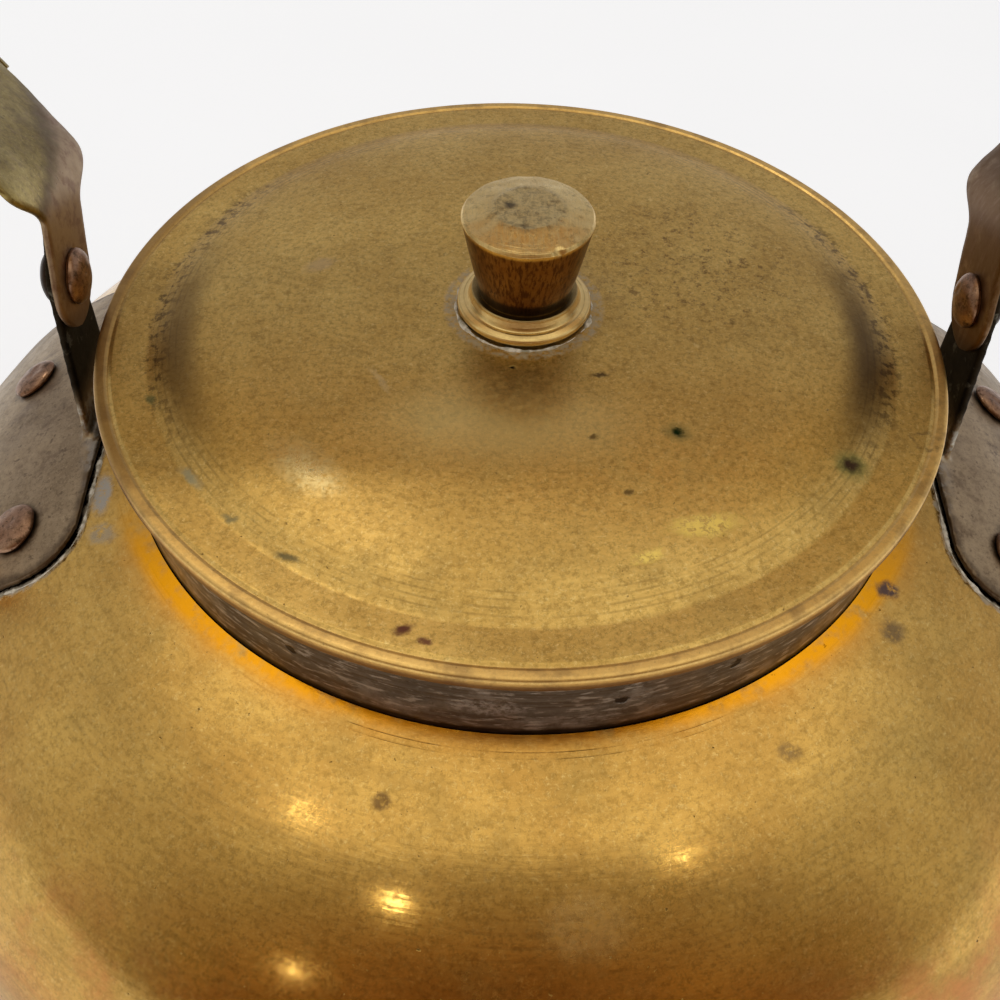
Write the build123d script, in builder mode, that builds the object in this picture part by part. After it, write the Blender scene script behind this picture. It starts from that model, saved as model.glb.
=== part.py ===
from build123d import *
from math import acos, asin, cos, degrees, hypot, radians, sin, sqrt
import os

# Antique tea kettle: a spun body with a seamed bottom, a neck collar, a riveted
# gooseneck spout, two riveted ears, a swinging strap handle and a lift-off lid.
# Millimetres, +Z up. The origin is the centre of the underside. The spout
# points along -X and the handle's two pivots lie on one line along X.

os.makedirs("parts", exist_ok=True)

# Body
sheet = 1.5
belly_radius = 116.0
belly_height = 64.0
base_radius = 96.0
mouth_radius = 62.6
mouth_height = 125.0
shoulder_centre = 40.3
flank_centre = 66.0

# Bottom pan, lapped round the foot of the body
pan_sheet = 1.2
pan_height = 8.0

# Neck collar
collar_sheet = 1.4
collar_rise = 15.5
collar_lap = 3.0

# Lid
lid_radius = 65.0
lid_sheet = 1.2
lid_fit = 0.3
rim_height = 2.7
rim_width = 2.05
rim_drop = 1.5
rim_bend = 0.9
dome_radius = 55.7
dome_rise = 3.6
crown_flat = 14.0
skirt_sheet = 1.0
skirt_depth = 12.0

# Knob on its turned foot, held by a peened stud and a washer
foot_radius = 10.2
foot_edge = 1.7
foot_height = 3.6
foot_waist = 7.8
foot_step = 0.8
foot_cove = 0.5
knob_bottom_radius = 7.0
knob_top_radius = 9.7
knob_height = 13.0
knob_crown = 1.3
stud_radius = 2.4
stud_depth = 7.0
stud_head_radius = 4.2
stud_head = 1.4
washer_radius = 8.0
washer_sheet = 1.2

# Ears: a saddle plate on the shoulder with an upright lug
ear_sheet = 1.3
ear_inner = 67.0
ear_outer = 101.0
ear_half_length = 34.5
ear_corner = 9.0
ear_margin = 1.0
lug_foot_half = 8.5
lug_foot_shift = 2.5
lug_foot_drop = 6.0
lug_top_radius = 5.9
lug_crest_radius = 3.0
lug_crest_shift = 1.5
lug_crest_rise = 7.2

# Handle: a strap riveted to the lugs' inner faces, with a second one hemmed over its grip
strap = 1.0
strap_inner = 67.8
strap_play = 0.1
pivot_rise = 9.6
tongue_radius = 7.7
tongue_length = 11.0
shoulder_half_width = 15.5
shoulder_height = 15.0
shoulder_end = 19.0
shoulder_blend = 3.0
grip_half_width = 20.0
grip_start = 25.0
hem_start = 25.5
bend_start = 10.0
bend_radius = 12.0
bend_turn = 48.0
splay_length = 8.0
side_radius = 38.0
side_turn = 112.0
handle_lean = 20.0
pivot_radius = 2.5
pivot_clearance = 0.05
pivot_head_radius = 4.4
pivot_head_rise = 2.2

# Spout
spout_wall = 1.4
spout_sink = 18.0
spout_reach = 68.0
root_height = 34.0
tip_height = 143.0
root_direction = (0.9, 0.45)
tip_direction = (0.75, 0.6)
root_pull = 1.55
tip_pull = 0.75
taper_power = 1.6
root_radius = 21.0
tip_radius = 8.6
spout_stations = 9
bore_overrun = 1.0
lip_wire = 1.3
lip_round = 1.15
lip_overlap = 0.2
flange_sheet = 1.5
flange_half_width = 31.0
flange_half_height = 35.5
flange_height = 44.5
flange_rivets = 6
flange_rivet_inset = 4.6

# Small rivets of the ears and the spout's flange
rivet_shank = 1.8
rivet_head = 4.4
rivet_rise = 1.9
rivet_tail = 3.2
rivet_tail_rise = 1.0
rivet_bedding = 0.15
flange_rivet_head = 3.2
ear_rivets = ((77.8, -25.0), (84.5, 10.5), (94.0, -11.0))

# Worked-out sizes of the body's two ellipses, shoulder above and flank below
shoulder_across = belly_radius - shoulder_centre
mouth_share = (mouth_radius - shoulder_centre) / shoulder_across
shoulder_up = (mouth_height - belly_height) / sqrt(1 - mouth_share**2)
flank_across = belly_radius - flank_centre
base_share = (base_radius - flank_centre) / flank_across
flank_down = belly_height / sqrt(1 - base_share**2)

# Worked-out heights and radii of the pieces that stack on one another
collar_top = mouth_height + collar_rise
lip = collar_top - rim_drop
pivot_height = lip + pivot_rise
flange_top = lip + rim_height
crown = flange_top + dome_rise
foot_top = crown + foot_height
collar_inner = mouth_radius - collar_sheet
skirt_outer = collar_inner - lid_fit
lug_inner = strap_inner + strap + strap_play
pivot_grip = strap + ear_sheet + 2 * strap_play
outer_strap = strap + strap_play
strap_stack = outer_strap + strap
spout_root = belly_radius - spout_sink
spout_tip = belly_radius + spout_reach


def shoulder(out, reach=mouth_radius):
    """Upper profile of the body, moved outward, from the belly to a radius."""
    across = shoulder_across + out
    end = degrees(acos((reach - shoulder_centre) / across))
    return EllipticalCenterArc((shoulder_centre, belly_height), across, shoulder_up + out, arc_size=end)


def flank(out, floor=0.0):
    """Lower profile of the body, moved outward, from a height up to the belly."""
    down = flank_down + out
    size = degrees(asin((belly_height - floor) / down))
    centre = (flank_centre, belly_height)
    return EllipticalCenterArc(centre, flank_across + out, down, start_angle=-size, arc_size=size)


def body_normal(x, y, z):
    """Outward direction of the body's surface at a point on it."""
    r = hypot(x, y)
    if z >= belly_height:
        outward = (r - shoulder_centre) / shoulder_across**2
        upward = (z - belly_height) / shoulder_up**2
    else:
        outward = (r - flank_centre) / flank_across**2
        upward = (z - belly_height) / flank_down**2
    return Vector(x / r * outward, y / r * outward, upward).normalized()


def shoulder_point(x, y):
    """Point of the shoulder above a place in plan."""
    share = (hypot(x, y) - shoulder_centre) / shoulder_across
    return Vector(x, y, belly_height + shoulder_up * sqrt(1 - share**2))


def side_point(y, z):
    """Point of the body's side facing the spout, level with a height."""
    if z >= belly_height:
        r = shoulder_centre + shoulder_across * sqrt(1 - ((z - belly_height) / shoulder_up) ** 2)
    else:
        r = flank_centre + flank_across * sqrt(1 - ((belly_height - z) / flank_down) ** 2)
    return Vector(-sqrt(r**2 - y**2), y, z)


def rivet_seat(point, lift):
    """Plane on the sheet that a rivet's head lies on, facing outward."""
    facing = body_normal(point.X, point.Y, point.Z)
    return Plane(origin=point + facing * lift, z_dir=facing)


def closed_body():
    """Solid of the body's whole outer form, without its mouth."""
    with BuildPart() as form:
        with BuildSketch(Plane.YZ):
            with BuildLine():
                low = flank(0)
                high = shoulder(0)
                Polyline(high @ 1, (0, (high @ 1).Y), (0, 0), low @ 0)
            make_face()
        revolve(axis=Axis.Z)
    return form.part


def jacket(thickness):
    """Skin that lies on the body's outside, as thick as a sheet."""
    with BuildPart() as form:
        with BuildSketch(Plane.YZ):
            with BuildLine():
                low = flank(0)
                high = shoulder(0, ear_inner - ear_margin)
                low_out = flank(thickness)
                high_out = shoulder(thickness, ear_inner - ear_margin)
                Line(low @ 0, low_out @ 0)
                Line(high @ 1, high_out @ 1)
            make_face()
        revolve(axis=Axis.Z)
    return form.part


def cap(peak, radius, rise, side=-1):
    """Arc of a round cap, from its peak on the axis out to its edge."""
    curve = (radius**2 + rise**2) / (2 * rise)
    return JernArc((0, peak), (1, 0), curve, side * degrees(asin(radius / curve)))


def rivet(head_radius, head_rise, shank_radius, grip, tail_radius, tail_rise):
    """Rivet on Z: domed head above zero, shank through the grip, clenched tail."""
    with BuildPart() as form:
        with BuildSketch(Plane.XZ):
            with BuildLine():
                head = cap(head_rise, head_radius, head_rise)
                tail = cap(-grip - tail_rise, tail_radius, tail_rise, 1)
                Polyline(head @ 1, (shank_radius, 0), (shank_radius, -grip), tail @ 1)
                Line(head @ 0, tail @ 0)
            make_face()
        revolve(axis=Axis.Z)
    return form.part


body_form = closed_body()
ear_skin = jacket(ear_sheet)
flange_skin = jacket(flange_sheet)


# Spout: its centre line is one smooth curve in the XZ plane
root_heading = (-root_direction[0], 0, root_direction[1])
tip_heading = (-tip_direction[0], 0, tip_direction[1])
spout_spine = Spline(
    (-spout_root, 0, root_height),
    (-spout_tip, 0, tip_height),
    tangents=(root_heading, tip_heading),
    tangent_scalars=(root_pull, tip_pull),
)


def spout_form(growth, overrun=0.0):
    """Tapered gooseneck lofted through circles square to its centre line."""
    with BuildPart() as form:
        for station in range(spout_stations):
            along = station / (spout_stations - 1)
            taper = (1 - along) ** taper_power
            radius = tip_radius + (root_radius - tip_radius) * taper + growth
            heading = spout_spine % along
            shift = overrun if station == spout_stations - 1 else 0.0
            place = spout_spine @ along + heading * shift
            with BuildSketch(Plane(origin=place, x_dir=(0, 1, 0), z_dir=heading)):
                Circle(radius)
        loft()
    return form.part


spout_outside = spout_form(0)
spout_inside = spout_form(-spout_wall, bore_overrun)

with BuildPart() as spout_tube:
    add(spout_outside)
    add(spout_inside, mode=Mode.SUBTRACT)
    add(body_form, mode=Mode.SUBTRACT)
spout_tube.part.label = "spout_tube"
export_step(spout_tube.part, "parts/spout_tube.step")

# Rolled lip round the spout's tip
tip_plane = Plane(origin=spout_spine @ 1, x_dir=(0, 1, 0), z_dir=spout_spine % 1)
with BuildPart() as spout_lip:
    with BuildSketch(tip_plane.offset(-2 * lip_wire)):
        Circle(tip_radius + lip_wire)
    extrude(amount=2 * lip_wire)
    fillet(spout_lip.edges().filter_by(GeomType.CIRCLE), lip_round)
    add(spout_outside, mode=Mode.SUBTRACT)
    with BuildSketch(tip_plane):
        Circle(tip_radius - lip_overlap)
    extrude(amount=4 * lip_wire, both=True, mode=Mode.SUBTRACT)
spout_lip.part.label = "spout_lip"
export_step(spout_lip.part, "parts/spout_lip.step")

# Flange that rivets the spout to the body's side
with BuildPart() as spout_flange:
    with BuildSketch(Plane.YZ.offset(-belly_radius - flange_half_width)):
        with Locations((0, flange_height)):
            Ellipse(flange_half_width, flange_half_height)
    extrude(amount=belly_radius)
    add(flange_skin, mode=Mode.INTERSECT)
    add(spout_outside, mode=Mode.SUBTRACT)
    flange_seats = []
    for number in range(flange_rivets):
        angle = radians(360 / flange_rivets * (number + 0.5))
        across = (flange_half_width - flange_rivet_inset) * sin(angle)
        height = flange_height + (flange_half_height - flange_rivet_inset) * cos(angle)
        flange_seats.append(rivet_seat(side_point(across, height), flange_sheet))
    for seat in flange_seats:
        with BuildSketch(seat):
            Circle(rivet_shank)
        extrude(amount=2 * flange_sheet, both=True, mode=Mode.SUBTRACT)
spout_flange.part.label = "spout_flange"
export_step(spout_flange.part, "parts/spout_flange.step")

for number, seat in enumerate(flange_seats, start=1):
    with BuildPart() as spout_rivet:
        grip = flange_sheet + sheet + rivet_bedding
        shape = rivet(flange_rivet_head, rivet_rise, rivet_shank, grip, rivet_tail, rivet_tail_rise)
        add(seat.location * shape)
    spout_rivet.part.label = f"spout_rivet_{number}"
    export_step(spout_rivet.part, f"parts/spout_rivet_{number}.step")

# Ears: the saddle plate follows the shoulder and the lug stands up from its inner edge
ear_seats = []
for side_name, side in (("left", -1), ("right", 1)):
    seats = [rivet_seat(shoulder_point(side * x, y), ear_sheet) for x, y in ear_rivets]
    ear_seats += seats
    with BuildPart() as ear:
        with BuildSketch(Plane.XY.offset(belly_height)):
            with Locations((side * (ear_inner + ear_outer) / 2, 0)):
                RectangleRounded(ear_outer - ear_inner, 2 * ear_half_length, ear_corner)
        extrude(amount=belly_height + mouth_height)
        add(ear_skin, mode=Mode.INTERSECT)
        with BuildSketch(Plane.YZ.offset(side * lug_inner)):
            with BuildLine():
                CenterArc((0, pivot_height), lug_top_radius, 0, 360)
                CenterArc((lug_crest_shift, pivot_height + lug_crest_rise), lug_crest_radius, 0, 360)
                lug_foot = mouth_height - lug_foot_drop
                front = -lug_foot_half - lug_foot_shift
                Line((front, lug_foot), (front + 2 * lug_foot_half, lug_foot))
            make_hull()
            with Locations((0, pivot_height)):
                Circle(pivot_radius + pivot_clearance, mode=Mode.SUBTRACT)
        extrude(amount=side * ear_sheet)
        add(body_form, mode=Mode.SUBTRACT)
        for seat in seats:
            with BuildSketch(seat):
                Circle(rivet_shank)
            extrude(amount=2 * ear_sheet, both=True, mode=Mode.SUBTRACT)
    ear.part.label = f"{side_name}_ear"
    export_step(ear.part, f"parts/{side_name}_ear.step")

    for number, seat in enumerate(seats, start=1):
        with BuildPart() as ear_rivet:
            grip = ear_sheet + sheet + rivet_bedding
            shape = rivet(rivet_head, rivet_rise, rivet_shank, grip, rivet_tail, rivet_tail_rise)
            add(seat.location * shape)
        ear_rivet.part.label = f"{side_name}_ear_rivet_{number}"
        export_step(ear_rivet.part, f"parts/{side_name}_ear_rivet_{number}.step")

# Body shell, open at the mouth and the foot, with its holes
with BuildPart() as body_shell:
    with BuildSketch(Plane.YZ):
        with BuildLine():
            low = flank(0, pan_sheet)
            high = shoulder(0)
            low_in = flank(-sheet, pan_sheet)
            high_in = shoulder(-sheet)
            Line(low @ 0, low_in @ 0)
            Line(high @ 1, high_in @ 1)
        make_face()
    revolve(axis=Axis.Z)
    add(spout_inside, mode=Mode.SUBTRACT)
    for seat in ear_seats + flange_seats:
        with BuildSketch(seat):
            Circle(rivet_shank)
        extrude(amount=4 * sheet, both=True, mode=Mode.SUBTRACT)
body_shell.part.label = "body_shell"
export_step(body_shell.part, "parts/body_shell.step")

# Bottom pan: a disc with an upstand lapped outside the body's foot
with BuildPart() as base_pan:
    with BuildSketch(Plane.YZ):
        with BuildLine():
            outside = flank(pan_sheet)
            Polyline(outside @ 0, (0, 0), (0, belly_height), outside @ 1)
        make_face()
        with BuildLine():
            inside = flank(0, pan_sheet)
            Polyline(inside @ 0, (0, pan_sheet), (0, belly_height), inside @ 1)
        make_face(mode=Mode.SUBTRACT)
        with Locations((0, pan_height)):
            Rectangle(2 * belly_radius, belly_height, align=(Align.MIN, Align.MIN), mode=Mode.SUBTRACT)
    revolve(axis=Axis.Z)
base_pan.part.label = "base_pan"
export_step(base_pan.part, "parts/base_pan.step")

# Neck collar standing in the mouth
with BuildPart() as neck_collar:
    with BuildSketch(Plane.XY.offset(mouth_height - collar_lap)):
        Circle(mouth_radius)
        Circle(collar_inner, mode=Mode.SUBTRACT)
    extrude(amount=collar_top - mouth_height + collar_lap)
neck_collar.part.label = "neck_collar"
export_step(neck_collar.part, "parts/neck_collar.step")

# Lid cover: a low dome, a flat flange and a rolled rim round the collar
with BuildPart() as lid_cover:
    with BuildSketch(Plane.XZ):
        with BuildLine():
            across = dome_radius - crown_flat
            dome = EllipticalCenterArc((crown_flat, flange_top), across, dome_rise, arc_size=90)
            under = EllipticalCenterArc(
                (crown_flat, flange_top), across - lid_sheet, dome_rise - lid_sheet, arc_size=90
            )
            Polyline(
                dome @ 0,
                (lid_radius - rim_width / 2, flange_top),
                (lid_radius - rim_width / 2, lip + rim_drop),
                ((under @ 0).X, lip + rim_drop),
                under @ 0,
            )
            Polyline(dome @ 1, (stud_radius, crown), (stud_radius, crown - lid_sheet), under @ 1)
        make_face()
        with Locations((lid_radius - rim_width, lip)):
            Rectangle(rim_width, rim_height, align=(Align.MIN, Align.MIN))
    revolve(axis=Axis.Z)
    rim_edges = lid_cover.edges().filter_by(GeomType.CIRCLE).group_by(SortBy.RADIUS)[-1]
    fillet(rim_edges, rim_bend)
lid_cover.part.label = "lid_cover"
export_step(lid_cover.part, "parts/lid_cover.step")

# Skirt under the lid, inside the collar
with BuildPart() as lid_skirt:
    with BuildSketch(Plane.XY.offset(collar_top - skirt_depth)):
        Circle(skirt_outer)
        Circle(skirt_outer - skirt_sheet, mode=Mode.SUBTRACT)
    extrude(amount=skirt_depth)
lid_skirt.part.label = "lid_skirt"
export_step(lid_skirt.part, "parts/lid_skirt.step")

# Knob's foot: a turned disc with a moulded waist
with BuildPart() as knob_foot:
    with BuildSketch(Plane.XZ):
        with BuildLine():
            Polyline(
                (stud_radius, foot_top),
                (stud_radius, crown),
                (foot_radius, crown),
                (foot_radius, crown + foot_edge),
                (foot_radius - foot_step, crown + foot_edge),
            )
            ThreePointArc(
                (foot_radius - foot_step, crown + foot_edge),
                (foot_waist + foot_cove, crown + foot_edge + foot_cove),
                (foot_waist, foot_top),
            )
            Line((foot_waist, foot_top), (stud_radius, foot_top))
        make_face()
    revolve(axis=Axis.Z)
knob_foot.part.label = "knob_foot"
export_step(knob_foot.part, "parts/knob_foot.step")

# Knob: a turned cone standing on its narrow end, with a blunt crown
with BuildPart() as knob:
    with BuildSketch(Plane.XZ):
        with BuildLine():
            Polyline(
                (0, foot_top + stud_depth),
                (stud_radius, foot_top + stud_depth),
                (stud_radius, foot_top),
                (knob_bottom_radius, foot_top),
                (knob_top_radius, foot_top + knob_height),
            )
            crown_cap = cap(foot_top + knob_height + knob_crown, knob_top_radius, knob_crown)
            Line(crown_cap @ 0, (0, foot_top + stud_depth))
        make_face()
    revolve(axis=Axis.Z)
knob.part.label = "knob"
export_step(knob.part, "parts/knob.step")

# Washer under the lid's crown
with BuildPart() as knob_washer:
    with BuildSketch(Plane.XY.offset(crown - lid_sheet - washer_sheet)):
        Circle(washer_radius)
        Circle(stud_radius, mode=Mode.SUBTRACT)
    extrude(amount=washer_sheet)
knob_washer.part.label = "knob_washer"
export_step(knob_washer.part, "parts/knob_washer.step")

# Stud through knob, foot, cover and washer, peened over below
stud_bottom = crown - lid_sheet - washer_sheet
with BuildPart() as knob_stud:
    with BuildSketch(Plane.XY.offset(stud_bottom)):
        Circle(stud_radius)
    extrude(amount=foot_top + stud_depth - stud_bottom)
    with BuildSketch(Plane.XY.offset(stud_bottom - stud_head)):
        Circle(stud_head_radius)
    extrude(amount=stud_head)
knob_stud.part.label = "knob_stud"
export_step(knob_stud.part, "parts/knob_stud.step")


# Handle: both straps follow one line, each at its own distance outside it.
# The upright plane holds that line and leans back about the pivots.
upright = Plane(
    origin=(0, 0, pivot_height),
    x_dir=(1, 0, 0),
    z_dir=(0, -cos(radians(handle_lean)), sin(radians(handle_lean))),
)
upright_side = Plane(
    origin=(0, 0, pivot_height),
    x_dir=(0, cos(radians(handle_lean)), -sin(radians(handle_lean))),
    z_dir=(1, 0, 0),
)


def strap_line(out):
    """Half of the strap's line in the handle's plane, moved outward."""
    leg = Line((strap_inner + out, -tongue_radius), (strap_inner + out, bend_start))
    bend = JernArc(leg @ 1, leg % 1, bend_radius - out, -bend_turn)
    splay = Line(bend @ 1, bend @ 1 + (bend % 1) * splay_length)
    side = JernArc(splay @ 1, splay % 1, side_radius + out, side_turn)
    rest = 90 + bend_turn - side_turn
    top = JernArc(side @ 1, side % 1, (side @ 1).X / sin(radians(rest)), rest)
    return leg @ 0, top @ 1


def strap_band(inside, outside):
    """Band between two distances from the strap's line, over the full width."""
    with BuildPart() as form:
        with BuildSketch(upright):
            with BuildLine():
                inner_foot, inner_top = strap_line(inside)
                outer_foot, outer_top = strap_line(outside)
                Line(inner_foot, outer_foot)
                Line(inner_top, outer_top)
            make_face()
            mirror(about=Plane.YZ)
        extrude(amount=grip_half_width, both=True)
    return form.part


def above_hem(half_width):
    """Block over the grip, from the hem's start upwards, extruded along the pivots' line."""
    with BuildPart() as form:
        with BuildSketch(upright_side):
            with Locations((0, hem_start)):
                Rectangle(2 * half_width, 2 * strap_inner, align=(Align.CENTER, Align.MIN))
        extrude(amount=2 * strap_inner, both=True)
    return form.part


# Inner strap, whose round tongues lie on the lugs' inner faces
with BuildPart() as handle_inner_strap:
    half_sides = (
        (tongue_radius, 0),
        (tongue_radius, tongue_length),
        (shoulder_half_width, shoulder_height),
        (shoulder_half_width, shoulder_end),
        (grip_half_width - strap, grip_start),
        (grip_half_width - strap, 2 * strap_inner),
    )
    other_sides = tuple((-across, up) for across, up in reversed(half_sides))
    with BuildSketch(upright_side) as view:
        with BuildLine():
            Polyline(*half_sides, *other_sides, close=True)
        make_face()
        fillet(view.vertices().group_by(Axis.Y)[1:-1], shoulder_blend)
        Circle(tongue_radius)
        Circle(pivot_radius, mode=Mode.SUBTRACT)
    extrude(amount=2 * strap_inner, both=True)
    add(strap_band(0, strap), mode=Mode.INTERSECT)
handle_inner_strap.part.label = "handle_inner_strap"
export_step(handle_inner_strap.part, "parts/handle_inner_strap.step")

# Outer strap along the grip, hemmed down over the inner one's edges
with BuildPart() as handle_outer_strap:
    add(strap_band(0, strap_stack))
    add(above_hem(grip_half_width), mode=Mode.INTERSECT)
    with BuildPart(mode=Mode.SUBTRACT):
        add(strap_band(0, outer_strap))
        add(above_hem(grip_half_width - strap), mode=Mode.INTERSECT)
handle_outer_strap.part.label = "handle_outer_strap"
export_step(handle_outer_strap.part, "parts/handle_outer_strap.step")

# Rivets that the handle swings on, through the tongue and the lug
for side_name, side in (("left", -1), ("right", 1)):
    pivot_seat = Plane(origin=(side * strap_inner, 0, pivot_height), z_dir=(-side, 0, 0))
    with BuildPart() as pivot_rivet:
        shape = rivet(
            pivot_head_radius, pivot_head_rise, pivot_radius, pivot_grip, pivot_head_radius, pivot_head_rise
        )
        add(pivot_seat.location * shape)
    pivot_rivet.part.label = f"{side_name}_pivot_rivet"
    export_step(pivot_rivet.part, f"parts/{side_name}_pivot_rivet.step")
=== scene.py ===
# %% [markdown]
# # An old spun brass kettle, dressed over its frame
#
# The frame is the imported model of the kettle: every sheet, rivet and strap in its real place and
# size. This lesson puts the looks on it, piece by piece, in the way that the real kettle was made.
# Sheets that were spun on a lathe are turned here as profiles, straps that were bent are swept
# along their bend, plates that were cut and hammered are worn copies of the frame's own plates,
# and each metal gets a finish worked out from its age.

# %% Load the frame
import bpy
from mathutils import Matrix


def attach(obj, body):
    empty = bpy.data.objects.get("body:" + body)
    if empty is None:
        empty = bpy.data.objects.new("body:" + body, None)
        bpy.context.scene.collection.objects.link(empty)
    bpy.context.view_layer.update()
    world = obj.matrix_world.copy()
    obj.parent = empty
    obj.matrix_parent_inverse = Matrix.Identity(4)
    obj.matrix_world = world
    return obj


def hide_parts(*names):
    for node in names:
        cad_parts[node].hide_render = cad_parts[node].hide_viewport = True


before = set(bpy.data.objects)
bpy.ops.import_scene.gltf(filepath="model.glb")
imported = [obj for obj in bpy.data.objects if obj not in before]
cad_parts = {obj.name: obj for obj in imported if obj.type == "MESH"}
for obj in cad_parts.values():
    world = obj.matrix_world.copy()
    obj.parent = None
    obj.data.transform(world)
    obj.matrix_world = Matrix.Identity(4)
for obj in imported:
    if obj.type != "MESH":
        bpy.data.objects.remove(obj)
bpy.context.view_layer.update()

# %% Tools of the lesson
import math
from types import SimpleNamespace

import bmesh
import bpy
from mathutils import Matrix, Vector, noise

scene = bpy.context.scene
MM = 0.001

# %% [markdown]
# ## The camera
#
# The photograph was taken from very near, a hand's breadth above the lid, so the shapes swell
# towards the lens. A camera can be set by eye or worked out from round things whose circles turn
# into ellipses. This one was worked out from the lid, the knob and the neck, because only a true
# place gives the same swelling. The position is in millimetres and the turn is in degrees.

# %% Camera
camera_place = (-4.97, -138.95, 260.28)
camera_turn = (40.82, -1.47, 0.67)
camera_lens = 41.73

camera_data = bpy.data.cameras.new("camera")
camera_data.lens = camera_lens
camera_data.clip_start = 0.01
camera_data.clip_end = 50.0
camera = bpy.data.objects.new("camera", camera_data)
camera.location = Vector(camera_place) * MM
camera.rotation_euler = [math.radians(v) for v in camera_turn]
scene.collection.objects.link(camera)
scene.camera = camera
scene.view_settings.view_transform = "Standard"
print("camera at", [round(v, 4) for v in camera.location])

# %% [markdown]
# ## Colours and nodes
#
# Colours are given as sRGB hex values, and the shader wants linear light, so one function
# turns one into the other. A material is a tree of small nodes: one function adds a node, sets it
# and joins it to the ones before, and short ones use it for sums, mixing and smooth steps.

# %% Functions for colours and nodes
def linear(hex_code):
    """Linear red, green, blue and alpha of an sRGB hex colour."""
    parts = [int(hex_code[i:i + 2], 16) / 255 for i in (1, 3, 5)]
    return [p / 12.92 if p <= 0.04045 else ((p + 0.055) / 1.055) ** 2.4 for p in parts] + [1.0]


def add(tree, kind, inputs=None, **settings):
    """Add a node, set its settings, and give each input a value or a link."""
    node = tree.nodes.new("ShaderNode" + kind)
    for name, value in settings.items():
        setattr(node, name, value)
    for key, value in (inputs or {}).items():
        if isinstance(value, bpy.types.NodeSocket):
            tree.links.new(value, node.inputs[key])
        else:
            node.inputs[key].default_value = value
    return node


def calc(tree, operation, *values, clamp=False):
    """Result of an operation on numbers, each a value or a link."""
    return add(tree, "Math", dict(enumerate(values)), operation=operation, use_clamp=clamp).outputs[0]


def calc_vector(tree, operation, *values):
    """Result of an operation on vectors, which is a number for a length or a dot product."""
    result = "Value" if operation in ("LENGTH", "DOT_PRODUCT") else "Vector"
    return add(tree, "VectorMath", dict(enumerate(values)), operation=operation).outputs[result]


def mix(tree, share, under, over):
    """Colour between two: the one under at a share of 0 and the one over at 1."""
    return add(tree, "Mix", {"Factor": share, 6: under, 7: over}, data_type="RGBA").outputs[2]


def ramp(tree, value, start, end):
    """Smooth rise from 0 to 1 as a value goes from a start to an end."""
    return add(tree, "MapRange", {0: value, 1: start, 2: end}, interpolation_type="SMOOTHSTEP").outputs[0]


print("brass yellow is", [round(v, 3) for v in linear("#e0b25c")[:3]])

# %% [markdown]
# ## The light
#
# Old metal shows little of its own: nearly all that the eye sees on it is the room, so the light
# is planned as what the metal mirrors. Seen from the kettle, a wide pale ceiling light hangs
# overhead, the back wall is mid grey, the sides are a little lighter, and the side where the
# viewer stands is dim and warm, which draws the brown band round the shoulder. Lamps alone would
# leave black between them, so the whole room is a world of soft tones. A few small lamps give the
# white glints.

# %% Room
def room_light():
    """World whose tone depends on the direction, from the viewer's side over the top to the back."""
    world = bpy.data.worlds.new("room")
    world.use_nodes = True
    tree = world.node_tree
    tree.nodes.clear()
    place = add(tree, "TexCoord")
    split = add(tree, "SeparateXYZ", {0: place.outputs["Generated"]}).outputs
    along = add(tree, "MapRange", {0: split["Y"], 1: -1.0})
    walls = add(tree, "ValToRGB", {0: along.outputs[0]})
    tones = ((0.02, "#6b4526"), (0.12, "#8a6a48"), (0.20, "#9a8a74"), (0.31, "#bdb7ae"),
             (0.55, "#c9c8cb"), (0.74, "#b1aeb2"), (1.0, "#aba9af"))
    knots = walls.color_ramp.elements
    for stop, (where, tone) in enumerate(tones):
        knot = knots[stop] if stop < 2 else knots.new(where)
        knot.position = where
        knot.color = linear(tone)
    panel = 1.0
    for axis, start, end in (("Y", 0.60, 0.30), ("Y", -0.52, -0.38), ("Z", 0.60, 0.88)):
        panel = calc(tree, "MULTIPLY", panel, ramp(tree, split[axis], start, end))
    tone = mix(tree, panel, walls.outputs[0], linear("#fbf3e6"))
    sky = add(tree, "Background", {0: tone, 1: 1.0})
    add(tree, "OutputWorld", {0: sky.outputs[0]})
    scene.world = world


def glint_lamp(name, towards, width, power):
    """Small square lamp a metre away in a direction from the lid, aimed at it."""
    data = bpy.data.lights.new(name, "AREA")
    data.shape = "SQUARE"
    data.size = width
    data.energy = power
    data.color = linear("#fff9ee")[:3]
    lamp = bpy.data.objects.new(name, data)
    lamp.location = glint_aim + Vector(towards).normalized()
    lamp.rotation_euler = (glint_aim - lamp.location).to_track_quat("-Z", "Y").to_euler()
    scene.collection.objects.link(lamp)


room_light()
glint_aim = Vector((0, -0.04, 0.13))
glints = (
    ("lamp_dome", (-0.26, 0.42, 0.87), 0.040, 0.42),
    ("lamp_low_left", (-0.26, -0.63, 0.73), 0.024, 0.050),
    ("lamp_left", (-0.46, -0.35, 0.81), 0.022, 0.035),
    ("lamp_right", (0.42, -0.47, 0.78), 0.020, 0.022),
    ("lamp_far_left", (-0.51, -0.81, 0.42), 0.018, 0.020),
)
for name, towards, width, power in glints:
    glint_lamp(name, towards, width, power)

# %% [markdown]
# ## The floor
#
# The photograph has a plain pale ground with no shadow. Paper on a light table looks like that:
# it takes the light of the room and is faintly lit from below.

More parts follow.
